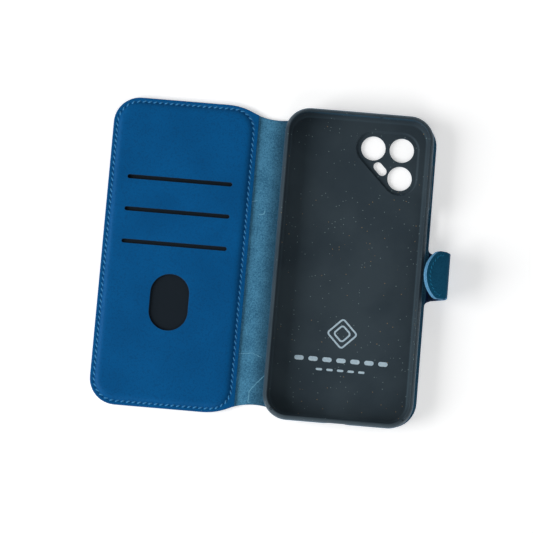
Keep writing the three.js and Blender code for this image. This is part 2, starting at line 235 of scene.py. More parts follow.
def sweep(
    outline: Outline, stations: Sequence[Station], bottom: bool = True, top: bool = True
) -> BMesh:
    """Raises a wall through its stations, and closes its ends.

    Args:
        outline: the loop that the wall follows.
        stations: the wall's steps, from its first ring to its last.
        bottom: whether the first ring is closed by a face.
        top: whether the last ring is closed by a face.

    Returns:
        The body, in millimetres.
    """
    body = outline.loop.copy()
    out = body.verts.layers.float_vector["out"]
    base = body.verts.layers.float_vector["base"]
    phase = body.verts.layers.float["phase"]

    def settle(verts: Iterable[Vert], station: Station) -> None:
        """Puts the points of a ring at a station."""
        for vert in verts:
            lift = station.pucker * (1 - math.cos(math.tau * vert[phase])) / 2
            vert.co = vert[base] + vert[out] * station.out + UP * (station.z + lift)

    ring = list(body.edges)
    settle(body.verts, stations[0])
    if bottom:
        bmesh.ops.edgeloop_fill(body, edges=ring)
    for station in stations[1:]:
        grown = bmesh.ops.extrude_edge_only(body, edges=ring)["geom"]
        fresh = {part for part in grown if isinstance(part, Vert)}
        ring = [part for part in grown if isinstance(part, Edge) and set(part.verts) <= fresh]
        settle(fresh, station)
    if top:
        bmesh.ops.edgeloop_fill(body, edges=ring)
    bmesh.ops.recalc_face_normals(body, faces=body.faces)
    return body


def soft_edge(low: float, high: float, radius: float, steps: int = 4) -> list[Station]:
    """The stations of a plate whose two edges are rounded over."""
    angles = [math.radians(90 * step / steps) for step in range(steps + 1)]
    lower = [Station(-radius * (1 - math.sin(a)), low + radius * (1 - math.cos(a))) for a in angles]
    upper = [
        Station(-radius * (1 - math.cos(a)), high - radius * (1 - math.sin(a))) for a in angles
    ]
    return lower + upper


def merged(bodies: Iterable[BMesh]) -> BMesh:
    """Puts several bodies in one mesh."""
    whole = bmesh.new()
    for body in bodies:
        spare = bpy.data.meshes.new("spare")
        body.to_mesh(spare)
        whole.from_mesh(spare)
        bpy.data.meshes.remove(spare)
        body.free()
    return whole


def combined(body: BMesh, tool: BMesh, how: Combine, mark: int = 0) -> BMesh:
    """Cuts a tool out of a body, or joins it on.

    Args:
        body: the body that is changed.
        tool: the tool, which may be several bodies that don't touch.
        how: cut or join.
        mark: the material number that the faces cut by the tool get.

    Returns:
        The new body.
    """
    for face in tool.faces:
        face.material_index = mark
    things = []
    for made in (body, tool):
        mesh = bpy.data.meshes.new("work")
        for _ in range(4):
            mesh.materials.append(None)
        made.to_mesh(mesh)
        made.free()
        thing = bpy.data.objects.new("work", mesh)
        bpy.context.scene.collection.objects.link(thing)
        things.append(thing)
    change = things[0].modifiers.new("combine", "BOOLEAN")
    change.operation = how.value
    change.solver = "EXACT"
    change.object = things[1]
    ready = things[0].evaluated_get(bpy.context.evaluated_depsgraph_get())
    result = bmesh.new()
    result.from_mesh(ready.to_mesh())
    ready.to_mesh_clear()
    for thing in things:
        mesh = thing.data
        bpy.data.objects.remove(thing)
        bpy.data.meshes.remove(mesh)
    bmesh.ops.remove_doubles(result, verts=result.verts, dist=1e-4)
    return result


def keep(body: BMesh, x: float, side: Side) -> None:
    """Cuts a body at an x, keeps one side, and closes the cut."""
    parts = list(body.verts) + list(body.edges) + list(body.faces)
    cut = bmesh.ops.bisect_plane(
        body,
        geom=parts,
        dist=ON_PLANE,
        plane_co=(x, 0, 0),
        plane_no=(1, 0, 0),
        clear_outer=side is Side.BELOW,
        clear_inner=side is Side.ABOVE,
    )
    rim = [part for part in cut["geom_cut"] if isinstance(part, Edge)]
    bmesh.ops.edgeloop_fill(body, edges=rim)


def score(
    body: BMesh, axis: int, low: float, high: float, step: float, faces: list[Face] | None = None
) -> None:
    """Adds rings of edges across a body, so that it can bend or swell.

    Args:
        body: the body.
        axis: 0 to cut across x, 1 to cut across y.
        low: where the first ring lies.
        high: where the last one may lie.
        step: the distance between rings.
        faces: the faces to cut, or all of them.
    """
    normal = Vector((1.0, 0.0, 0.0)) if axis == 0 else Vector((0.0, 1.0, 0.0))
    place = low
    while place <= high + 1e-6:
        if faces is None:
            parts = list(body.verts) + list(body.edges) + list(body.faces)
        else:
            parts = [part for face in faces for part in (*face.verts, *face.edges, face)]
            parts = list(dict.fromkeys(parts))
        cut = bmesh.ops.bisect_plane(
            body, geom=parts, dist=ON_PLANE, plane_co=normal * place, plane_no=normal
        )
        if faces is not None:
            faces = [part for part in cut["geom"] if isinstance(part, Face)]
        place += step


def bend(body: BMesh, start: float, radius: float, degrees: float, inner: float) -> None:
    """Bends a flat body upwards round an axis along y.

    Args:
        body: the body, flat up to now beyond the bend.
        start: the x where the bend begins.
        radius: the radius of the bend on the inner face.
        degrees: how far it bends.
        inner: the z of the inner face.
    """
    turn = math.radians(degrees)
    run = radius * turn
    centre = Vector((start, 0.0, inner + radius))
    for vert in body.verts:
        along = vert.co.x - start
        if along <= 0:
            continue
        share = min(1.0, along / run)
        flat = Vector((start + max(0.0, along - run), vert.co.y, vert.co.z))
        vert.co = Matrix.Rotation(-turn * share, 4, "Y") @ (flat - centre) + centre


def lay_flat_map(body: BMesh) -> None:
    """Gives the body the map named flat: its x and y while it lies flat, in metres."""
    sheet = body.loops.layers.uv.new("flat")
    for face in body.faces:
        for corner in face.loops:
            corner[sheet].uv = (corner.vert.co.x * MM, corner.vert.co.y * MM)


def sides(body: BMesh, upper: int, lower: int, edge: int) -> None:
    """Marks a sheet's upper face, its lower face and its cut edge, by material number."""
    body.normal_update()
    for face in body.faces:
        lie = face.normal.z
        face.material_index = upper if lie > 0.75 else lower if lie < -0.75 else edge


@dataclass(frozen=True)
class Bench:
    """Where the case lies in the row frame, and how its bodies become pieces."""

    middle: float

    @classmethod
    def under_the_case(cls) -> "Bench":
        """Finds the middle of the phone shell from the film beneath it."""
        low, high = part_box("bonding_film")
        return cls((low.x + high.x) / 2)

    def at(self, x: float, y: float, z: float) -> Vector:
        """A place in the row frame, in metres, from one in millimetres from the shell's middle."""
        return Vector((self.middle + x * MM, y * MM, z * MM))

    def piece(
        self,
        name: str,
        body: BMesh,
        coats: Sequence[Coat],
        crease: float = 40.0,
        flatten: bool = False,
    ) -> Thing:
        """Makes an object of a body, in the row frame, and dresses it.

        Args:
            name: the piece's name.
            body: the body, in millimetres from the shell's middle.
            coats: its materials, in the order of its material numbers.
            crease: edges sharper than this many degrees look sharp.
            flatten: whether large faces keep flat shading up to their edges.

        Returns:
            The object, at the origin, with its place in its mesh.
        """
        move(body, Matrix.Diagonal((MM, MM, MM, 1.0)))
        bmesh.ops.translate(body, vec=(self.middle, 0, 0), verts=body.verts)
        for kind in (body.verts.layers.float_vector, body.verts.layers.float):
            for layer in list(kind.values()):
                kind.remove(layer)
        mesh = bpy.data.meshes.new(name)
        body.to_mesh(mesh)
        body.free()
        for coat in coats:
            mesh.materials.append(coat)
        mesh.shade_smooth()
        mesh.set_sharp_from_angle(angle=math.radians(crease))
        thing = bpy.data.objects.new(name, mesh)
        bpy.context.scene.collection.objects.link(thing)
        if flatten:
            shading = thing.modifiers.new("flatten", "WEIGHTED_NORMAL")
            shading.keep_sharp = True
        LOG.info("%s: %d faces", name, len(mesh.polygons))
        return thing


# ---------------------------------------------------------------- finishes


class Grid(Enum):
    """What a pattern is laid out on: the piece's place, or its flat map, which follows a bend."""

    PLACE = "Object"
    FLAT = "flat"


class Wiring:
    """A node tree that is wired up by short calls."""

    def __init__(self, tree: Tree) -> None:
        """Starts on an empty tree."""
        self.tree = tree

    def add(
        self, kind: str, values: dict[object, object] | None = None, **settings: object
    ) -> Node:
        """Adds a node.

        Args:
            kind: the node's type.
            values: what its input sockets are set to or linked from, by name or number.
            settings: its own settings.

        Returns:
            The node.
        """
        node = self.tree.nodes.new(kind)
        for name, value in settings.items():
            setattr(node, name, value)
        self.fill(node, values or {})
        return node

    def fill(self, node: Node, values: dict[object, object]) -> None:
        """Links or sets a node's inputs, by name or number."""
        for name, value in values.items():
            if isinstance(value, Socket):
                self.tree.links.new(value, node.inputs[name])
            else:
                node.inputs[name].default_value = value

    def sum(self, how: str, first: object, second: object, third: object = 0.0) -> Socket:
        """A Math node's result."""
        return self.add("ShaderNodeMath", {0: first, 1: second, 2: third}, operation=how).outputs[0]

    def join(self, value: Socket, socket: Socket) -> None:
        """Links an output to an input."""
        self.tree.links.new(value, socket)

    def noise(self, vector: Socket, scale: float, detail: float, distortion: float = 0.0) -> Node:
        """A noise texture."""
        values = {"Vector": vector, "Scale": scale, "Detail": detail, "Distortion": distortion}
        return self.add("ShaderNodeTexNoise", values)

    def vectors(self, how: str, values: dict[object, object]) -> Socket:
        """A Vector Math node's result."""
        return self.add("ShaderNodeVectorMath", values, operation=how).outputs[0]

    def shaken(self, vector: Socket, scale: float, detail: float, reach: float) -> Socket:
        """A place moved about at random, by up to half the reach on each axis."""
        wobble = self.noise(vector, scale, detail)
        shift = self.vectors("SUBTRACT", {0: wobble.outputs["Color"], 1: (0.5, 0.5, 0.5)})
        small = self.vectors("SCALE", {0: shift, "Scale": reach})
        return self.vectors("ADD", {0: vector, 1: small})

    def ramp(
        self, value: object, low: float, high: float, to_low: float = 0.0, to_high: float = 1.0
    ) -> Socket:
        """A value moved smoothly from one range to another, and kept inside it."""
        values = {0: value, 1: low, 2: high, 3: to_low, 4: to_high}
        node = self.add("ShaderNodeMapRange", values, interpolation_type="SMOOTHSTEP", clamp=True)
        return node.outputs[0]

    def blend(self, share: object, first: object, second: object) -> Socket:
        """Two colours mixed."""
        node = self.add("ShaderNodeMix", data_type="RGBA")
        self.fill(node, {0: share, 6: first, 7: second})
        return node.outputs[2]


def group(
    name: str, inputs: dict[str, float | None], outputs: Sequence[str]
) -> tuple[Tree, Wiring]:
    """Starts a shader node group.

    Args:
        name: the group's name.
        inputs: its inputs: a number's usual value, or None for a vector.
        outputs: its outputs, all numbers.

    Returns:
        The tree, and the wiring of it.
    """
    tree = bpy.data.node_groups.new(name, "ShaderNodeTree")
    for label, value in inputs.items():
        kind = "NodeSocketVector" if value is None else "NodeSocketFloat"
        socket = tree.interface.new_socket(name=label, in_out="INPUT", socket_type=kind)
        if value is not None:
            socket.default_value = value
    for label in outputs:
        tree.interface.new_socket(name=label, in_out="OUTPUT", socket_type="NodeSocketFloat")
    return tree, Wiring(tree)


class Effects:
    """The shader node groups that more than one finish uses."""

    def __init__(self) -> None:
        """Builds the groups once."""
        self.grain = self._grain()
        self.nap = self._nap()
        self.weave = self._weave()
        self.flecks = self._flecks()
        self.scuff = self._scuff()

    def _grain(self) -> Tree:
        """Leather grain: small pebbles, fine creases between them, and slow changes of shade."""
        inputs = {"Vector": None, "Size": 0.0007}
        tree, wire = group("leather_grain", inputs, ("Height", "Crease", "Shade"))
        into, out = wire.add("NodeGroupInput"), wire.add("NodeGroupOutput")
        scale = wire.sum("DIVIDE", 1.0, into.outputs["Size"])
        moved = wire.shaken(into.outputs["Vector"], 900.0, 3.0, 0.0009)
        values = {"Vector": moved, "Scale": scale}
        cells = wire.add("ShaderNodeTexVoronoi", values, feature="SMOOTH_F1")
        fine = wire.noise(into.outputs["Vector"], 5200.0, 4.0)
        crease = wire.ramp(cells.outputs["Distance"], 0.32, 0.72)
        hump = wire.sum("SUBTRACT", 1.0, crease)
        height = wire.sum("MULTIPLY_ADD", fine.outputs["Fac"], 0.35, hump)
        slow = wire.noise(into.outputs["Vector"], 42.0, 5.0)
        wire.join(height, out.inputs["Height"])
        wire.join(crease, out.inputs["Crease"])
        wire.join(slow.outputs["Fac"], out.inputs["Shade"])
        return tree

    def _nap(self) -> Tree:
        """The nap of suede: matted patches of fibre, with fine tufts and a few bald spots."""
        tree, wire = group("suede_nap", {"Vector": None}, ("Height", "Tone"))
        into, out = wire.add("NodeGroupInput"), wire.add("NodeGroupOutput")
        vector = into.outputs["Vector"]
        cloud = wire.noise(vector, 130.0, 3.0)
        patch = wire.noise(vector, 1250.0, 3.0, 1.0)
        tuft = wire.noise(vector, 2600.0, 4.0, 0.7)
        low = wire.sum("MULTIPLY", cloud.outputs["Fac"], 0.25)
        middle = wire.sum("MULTIPLY_ADD", patch.outputs["Fac"], 0.55, low)
        tone = wire.sum("MULTIPLY_ADD", tuft.outputs["Fac"], 0.2, middle)
        height = wire.sum("MULTIPLY_ADD", tuft.outputs["Fac"], 0.6, patch.outputs["Fac"])
        wire.join(height, out.inputs["Height"])
        wire.join(wire.ramp(tone, 0.37, 0.62), out.inputs["Tone"])
        return tree

    def _weave(self) -> Tree:
        """A plain weave, by the height of its crossing threads."""
        tree, wire = group("plain_weave", {"Vector": None, "Pitch": 0.0004}, ("Height",))
        into, out = wire.add("NodeGroupInput"), wire.add("NodeGroupOutput")
        axes = wire.add("ShaderNodeSeparateXYZ", {0: into.outputs["Vector"]})
        turns = wire.sum("DIVIDE", math.pi, into.outputs["Pitch"])
        phases = [wire.sum("MULTIPLY", axes.outputs[axis], turns) for axis in (0, 1)]
        waves = [wire.sum("SINE", phase, 0.0) for phase in phases]
        height = wire.sum("ABSOLUTE", wire.sum("MULTIPLY", waves[0], waves[1]), 0.0)
        wire.join(height, out.inputs["Height"])
        return tree

    def _flecks(self) -> Tree:
        """Sparse flecks in a moulding, some pale and some warm."""
        inputs = {"Vector": None, "Spacing": 0.003, "Share": 0.12}
        tree, wire = group("flecks", inputs, ("Pale", "Warm"))
        into, out = wire.add("NodeGroupInput"), wire.add("NodeGroupOutput")
        scale = wire.sum("DIVIDE", 1.0, into.outputs["Spacing"])
        cells = wire.add("ShaderNodeTexVoronoi", {"Vector": into.outputs["Vector"], "Scale": scale})
        parts = wire.add("ShaderNodeSeparateColor", {0: cells.outputs["Color"]})
        size = wire.ramp(parts.outputs[2], 0.0, 1.0, 0.08, 0.17)
        spot = wire.sum("LESS_THAN", cells.outputs["Distance"], size)
        chosen = wire.sum("LESS_THAN", parts.outputs[0], into.outputs["Share"])
        shown = wire.sum("MULTIPLY", spot, chosen)
        warm = wire.sum("GREATER_THAN", parts.outputs[1], 0.72)
        wire.join(wire.sum("MULTIPLY", shown, wire.sum("SUBTRACT", 1.0, warm)), out.inputs["Pale"])
        wire.join(wire.sum("MULTIPLY", shown, warm), out.inputs["Warm"])
        return tree

    def _scuff(self) -> Tree:
        """One rubbed streak: strong on its own line, and ragged towards its sides and ends."""
        inputs = {"Vector": None, "X": 0.0, "Y": 0.0, "Turn": 0.0, "Length": 0.006, "Width": 0.0004}
        tree, wire = group("scuff", inputs, ("Mask",))
        into, out = wire.add("NodeGroupInput"), wire.add("NodeGroupOutput")
        centre = wire.add("ShaderNodeCombineXYZ", {0: into.outputs["X"], 1: into.outputs["Y"]})
        moved = wire.shaken(into.outputs["Vector"], 500.0, 4.0, 0.0014)
        from_it = wire.vectors("SUBTRACT", {0: moved, 1: centre.outputs[0]})
        values = {0: from_it, 3: into.outputs["Turn"]}
        turned = wire.add("ShaderNodeVectorRotate", values, rotation_type="Z_AXIS")
        axes = wire.add("ShaderNodeSeparateXYZ", {0: turned.outputs[0]})
        away = [wire.sum("ABSOLUTE", axes.outputs[axis], 0.0) for axis in (0, 1)]
        along = wire.sum("DIVIDE", away[0], into.outputs["Length"])
        across = wire.sum("DIVIDE", away[1], into.outputs["Width"])
        length_mask = wire.ramp(along, 0.35, 0.5, 1.0, 0.0)
        width_mask = wire.ramp(across, 0.2, 1.0, 1.0, 0.0)
        mask = wire.sum("MULTIPLY", length_mask, width_mask)
        wire.join(mask, out.inputs["Mask"])
        return tree


@dataclass(frozen=True)
class Finish:
    """What every finish has: a name, its shades, its gloss and what its pattern is laid out on."""

    name: str
    colour: Point
    shade: Point
    roughness: float = 0.6
    grid: Grid = Grid.PLACE

    def made(self, effects: Effects) -> Coat:
        """Makes the material.

        Args:
            effects: the shared node groups.

        Returns:
            The material.
        """
        coat = bpy.data.materials.new(self.name)
        coat.use_nodes = True
        coat.node_tree.nodes.clear()
        wire = Wiring(coat.node_tree)
        shader = wire.add("ShaderNodeBsdfPrincipled", {"Roughness": self.roughness})
        end = wire.add("ShaderNodeOutputMaterial")
        wire.join(shader.outputs[0], end.inputs[0])
        self.wired(wire, shader, self.vector(wire), effects)
        coat.diffuse_color = (*self.colour, 1.0)
        return coat

    def vector(self, wire: Wiring) -> Socket:
        """The coordinates that the pattern is laid out on, in metres."""
        if self.grid is Grid.FLAT:
            return wire.add("ShaderNodeUVMap", uv_map="flat").outputs[0]
        return wire.add("ShaderNodeTexCoord").outputs["Object"]

    def wired(self, wire: Wiring, shader: Node, vector: Socket, effects: Effects) -> None:
        """Wires the pattern into the shader. Each finish has its own."""
        raise NotImplementedError

    @staticmethod
    def bump(wire: Wiring, shader: Node, height: object, strength: float, depth: float) -> None:
        """Raises the surface by a height, where depth is the height of 1, in metres."""
        values = {"Height": height, "Strength": strength, "Distance": depth}
        node = wire.add("ShaderNodeBump", values)
        wire.join(node.outputs[0], shader.inputs["Normal"])

    @staticmethod
    def grouped(wire: Wiring, tree: Tree, values: dict[str, object]) -> Node:
        """Places a shared group."""
        node = wire.add("ShaderNodeGroup", node_tree=tree)
        wire.fill(node, values)
        return node

    @staticmethod
    def set_values(shader: Node, **values: object) -> None:
        """Sets the shader's plain values, by socket name with _ for a space."""
        for name, value in values.items():
            shader.inputs[name.replace("_", " ")].default_value = value

    def two_shades(self, wire: Wiring, shader: Node, mix: Socket) -> None:
        """Colours the surface from its dark shade to its light one."""
        mixed = wire.blend(mix, (*self.shade, 1), (*self.colour, 1))
        wire.join(mixed, shader.inputs["Base Color"])


@dataclass(frozen=True)
class SmoothLeather(Finish):
    """Dyed leather with a fine grain, with painted shade darkening its creases, and a little polished on its
    humps.
    """

    grain: float = 0.0007
    relief: float = 0.3

    def wired(self, wire: Wiring, shader: Node, vector: Socket, effects: Effects) -> None:
        """Wires grain, shade and gloss."""
        grain = self.grouped(wire, effects.grain, {"Vector": vector, "Size": self.grain})
        slow = wire.ramp(grain.outputs["Shade"], 0.3, 0.7)
        ground = wire.blend(slow, (*self.shade, 1), (*self.colour, 1))
        # painted shade: the grain's creases are blended towards a darker copy of the shade colour
        dark = tuple(0.72 * part for part in self.shade)
        depth = wire.sum("MULTIPLY", grain.outputs["Crease"], 0.45)
        wire.join(wire.blend(depth, ground, (*dark, 1)), shader.inputs["Base Color"])
        polished, matt = self.roughness - 0.05, self.roughness + 0.12
        rough = wire.ramp(grain.outputs["Crease"], 0.0, 1.0, polished, matt)
        wire.join(rough, shader.inputs["Roughness"])
        self.set_values(shader, Specular_IOR_Level=0.06)
        self.bump(wire, shader, grain.outputs["Height"], self.relief, 0.00006)


@dataclass(frozen=True)
class Scuff:
    """A rubbed streak on the nap: its middle, turn, length and width in millimetres and degrees."""

    x: float
    y: float
    turn: float
    length: float
    width: float


@dataclass(frozen=True)
class Suede(Finish):
    """The leather's napped side: mottled tufts with a soft sheen, and a few pale rubbed streaks."""

    pale: Point = (0.19, 0.48, 0.66)
    scuffs: tuple[Scuff, ...] = ()
    # painted shade: from painted_shade_from to painted_shade_to, in millimetres along x, the nap darkens
    # towards the shell as if the shell's wall shaded it; dim is the share of its colour left
    painted_shade_from: float = 0.0
    painted_shade_to: float = 0.0
    dim: float = 1.0

    def wired(self, wire: Wiring, shader: Node, vector: Socket, effects: Effects) -> None:
        """Wires nap, mottling, the rubbed streaks and the painted shade towards the shell."""
        nap = self.grouped(wire, effects.nap, {"Vector": vector})
        colour = wire.blend(nap.outputs["Tone"], (*self.shade, 1), (*self.colour, 1))
        # painted shade: towards the shell the nap is blended into a dark blue
        if self.dim < 1:
            across = wire.add("ShaderNodeSeparateXYZ", {0: vector}).outputs[0]
            fade = wire.ramp(across, self.painted_shade_from * MM, self.painted_shade_to * MM, 0.0, 1.0 - self.dim)
            colour = wire.blend(fade, colour, (0.006, 0.024, 0.045, 1))
        for mark in self.scuffs:
            values = {
                "Vector": vector,
                "X": mark.x * MM,
                "Y": mark.y * MM,
                "Turn": math.radians(-mark.turn),
                "Length": mark.length * MM,
                "Width": mark.width * MM,
            }
            scuff = self.grouped(wire, effects.scuff, values)
            share = wire.sum("MULTIPLY", scuff.outputs["Mask"], 0.85)
            colour = wire.blend(share, colour, (*self.pale, 1))
        wire.join(colour, shader.inputs["Base Color"])
        self.set_values(
            shader,
            Roughness=self.roughness,
            Specular_IOR_Level=0.2,
            Sheen_Weight=0.25,
            Sheen_Roughness=0.4,
            Sheen_Tint=(0.45, 0.72, 0.9, 1),
        )
        self.bump(wire, shader, nap.outputs["Height"], 0.55, 0.00025)


@dataclass(frozen=True)
class CutEdge(Finish):
    """The cut edge of leather: pressed layers of fibre, sealed but not glossy."""

    def wired(self, wire: Wiring, shader: Node, vector: Socket, effects: Effects) -> None:
        """Wires fibre layers along the edge."""
        fibres = wire.noise(vector, 1800.0, 5.0)
        mix = wire.ramp(fibres.outputs["Fac"], 0.35, 0.65)
        self.two_shades(wire, shader, mix)
        self.set_values(shader, Specular_IOR_Level=0.3)
        self.bump(wire, shader, fibres.outputs["Fac"], 0.35, 0.0001)


@dataclass(frozen=True)
class Moulding(Finish):
    """Satin moulded bioplastic with a fine spark texture and small flecks of plant fibre."""

    pale: Point = (0.17, 0.23, 0.24)
    warm: Point = (0.26, 0.19, 0.10)

    def wired(self, wire: Wiring, shader: Node, vector: Socket, effects: Effects) -> None:
        """Wires flecks, slow shade and the spark texture."""
        values = {"Vector": vector, "Spacing": 0.0016, "Share": 0.27}
        flecks = self.grouped(wire, effects.flecks, values)
        slow = wire.noise(vector, 30.0, 4.0)
        mix = wire.ramp(slow.outputs["Fac"], 0.35, 0.65)
        ground = wire.blend(mix, (*self.shade, 1), (*self.colour, 1))
        pale = wire.blend(flecks.outputs["Pale"], ground, (*self.pale, 1))
        warm = wire.blend(flecks.outputs["Warm"], pale, (*self.warm, 1))
        wire.join(warm, shader.inputs["Base Color"])
        spark = wire.noise(vector, 4200.0, 3.0)
        polished, matt = self.roughness - 0.06, self.roughness + 0.08
        rough = wire.ramp(spark.outputs["Fac"], 0.3, 0.7, polished, matt)
        wire.join(rough, shader.inputs["Roughness"])
        # painted reflection: the blue specular tint and the teal sheen stand in for the blue leather
        # mirrored in the shell's walls
        self.set_values(
            shader,
            Specular_IOR_Level=0.14,
            Specular_Tint=(0.3, 0.75, 1.0, 1),
            Sheen_Weight=0.4,
            Sheen_Roughness=0.3,
            Sheen_Tint=(0.03, 0.38, 0.72, 1),
        )
        self.bump(wire, shader, spark.outputs["Fac"], 0.25, 0.00006)


@dataclass(frozen=True)
class Thread(Finish):
    """Twisted polyester thread: its plies are in the mesh, and its fibres glint a little."""

    def wired(self, wire: Wiring, shader: Node, vector: Socket, effects: Effects) -> None:
        """Wires fibre streaks."""
        fibres = wire.noise(vector, 3500.0, 3.0)
        mix = wire.ramp(fibres.outputs["Fac"], 0.35, 0.65)
        self.two_shades(wire, shader, mix)
        self.set_values(shader, Specular_IOR_Level=0.08)
        self.bump(wire, shader, fibres.outputs["Fac"], 0.4, 0.00008)


@dataclass(frozen=True)
class Cloth(Finish):
    """Fine plain-woven lining cloth."""

    def wired(self, wire: Wiring, shader: Node, vector: Socket, effects: Effects) -> None:
        """Wires the weave."""
        weave = self.grouped(wire, effects.weave, {"Vector": vector, "Pitch": 0.00045})
        mix = wire.ramp(weave.outputs["Height"], 0.0, 0.8)
        self.two_shades(wire, shader, mix)
        self.set_values(shader, Specular_IOR_Level=0.15, Sheen_Weight=0.05)
        self.bump(wire, shader, weave.outputs["Height"], 0.5, 0.00012)


@dataclass(frozen=True)
class Plain(Finish):
    """Ink, board, film or metal: a fine mottling of two close shades under an even gloss."""

    metal: float = 0.0
    speckle: float = 900.0
    relief: float = 0.1

    def wired(self, wire: Wiring, shader: Node, vector: Socket, effects: Effects) -> None:
        """Wires the mottling."""
        fine = wire.noise(vector, self.speckle, 5.0)
        mix = wire.ramp(fine.outputs["Fac"], 0.3, 0.7)
        self.two_shades(wire, shader, mix)
        self.set_values(shader, Metallic=self.metal)
        self.bump(wire, shader, fine.outputs["Fac"], self.relief, 0.00005)


class Wardrobe:
    """All the case's finishes, made once."""

    def __init__(self) -> None:
        """Makes every material."""
        effects = Effects()
        flat = Grid.FLAT
        marks = (
            Scuff(-52.7, 31.8, 10, 3.4, 0.32),
            Scuff(-48.4, 25.1, 11, 3.0, 0.32),
            Scuff(-47.0, 26.2, 77, 2.2, 0.3),
            Scuff(-42.1, -63.2, 49, 10.5, 0.35),
            Scuff(-46.1, -68.2, 59, 4.6, 0.35),
            Scuff(-47.0, -72.6, 90, 6.6, 0.3),
            Scuff(-50.8, -49.6, 9, 8.0, 0.25),
            Scuff(-44.4, -50.1, -22, 6.6, 0.22),
        )
        blue, blue_shade = (0.0025, 0.104, 0.305), (0.002, 0.088, 0.262)
        petrol, petrol_shade = (0.006, 0.095, 0.19), (0.005, 0.080, 0.155)
        nap, nap_shade = (0.094, 0.325, 0.52), (0.033, 0.152, 0.275)
        # painted shade: the strap's inner nap is coloured dark navy, standing in for the light-blue suede in
        # the shade of the shell and the tab
        strap_painted_shade, strap_painted_shade_dark = (0.006, 0.022, 0.085), (0.003, 0.012, 0.05)
        # the spine suede's real rubbed streaks, and its painted shade darkening towards the shell
        scuffs_and_painted_shade = {"scuffs": marks, "painted_shade_from": -49.0, "painted_shade_to": -39.0, "dim": 0.4}
        finishes = {
            "panel": SmoothLeather("panel_leather", blue, blue_shade, 0.5),
            "outer": SmoothLeather("outer_leather", blue, blue_shade, 0.5, flat),
            "tab": SmoothLeather("tab_leather_top", petrol, petrol_shade, 0.5, flat),
            "suede": Suede("spine_suede", nap, nap_shade, 0.92, flat, **scuffs_and_painted_shade),
            "strap_inner": Suede("strap_lining_nap_painted_shade", strap_painted_shade, strap_painted_shade_dark, 0.9),
            "strap_inner_flat": Suede("strap_nap_painted_shade", strap_painted_shade, strap_painted_shade_dark, 0.9, flat),
            "tab_under": Suede("tab_lining_nap", nap, nap_shade, 0.92),
            "edge": CutEdge("cut_edge_dark", (0.006, 0.045, 0.11), (0.003, 0.025, 0.065), 0.6),
            "pale_edge": CutEdge("cut_edge_pale", (0.13, 0.36, 0.58), (0.07, 0.23, 0.42), 0.7),
            "moulding": Moulding(
                "shell_bioplastic", (0.047, 0.064, 0.077), (0.036, 0.050, 0.062), 0.45
            ),
            "thread": Thread("seam_thread", (0.075, 0.34, 0.64), (0.028, 0.18, 0.42), 0.6),
            "dull_thread": Thread("tab_thread", (0.015, 0.21, 0.38), (0.008, 0.12, 0.24), 0.7),
            # painted shade for the needle holes
            "hole": Plain("needle_hole_painted_shade", (0.002, 0.014, 0.05), (0.001, 0.008, 0.03), 0.9),
            "cloth": Cloth("black_lining", (0.011, 0.020, 0.030), (0.005, 0.009, 0.014), 0.85),
            "ink": Plain("pale_ink", (0.52, 0.66, 0.74), (0.42, 0.56, 0.66), 0.5),
            "board": Plain(
                "fibre_board", (0.27, 0.24, 0.19), (0.19, 0.17, 0.13), 0.9, relief=0.5
            ),
            "film": Plain("bonding_film_clear", (0.72, 0.74, 0.72), (0.62, 0.64, 0.62), 0.3),
            "steel": Plain(
                "keeper_steel", (0.42, 0.43, 0.44), (0.33, 0.34, 0.35), 0.35, metal=1.0
            ),
            "nickel": Plain(
                "magnet_nickel", (0.55, 0.54, 0.52), (0.46, 0.45, 0.44), 0.2, metal=1.0
            ),
        }
        self.coats = {part: finish.made(effects) for part, finish in finishes.items()}

    def parts(self, *names: str) -> list[Coat]:
        """The finishes of the parts of a piece, in the order of its material numbers."""
        return [self.coats[name] for name in names]


# ---------------------------------------------------------------- the leather


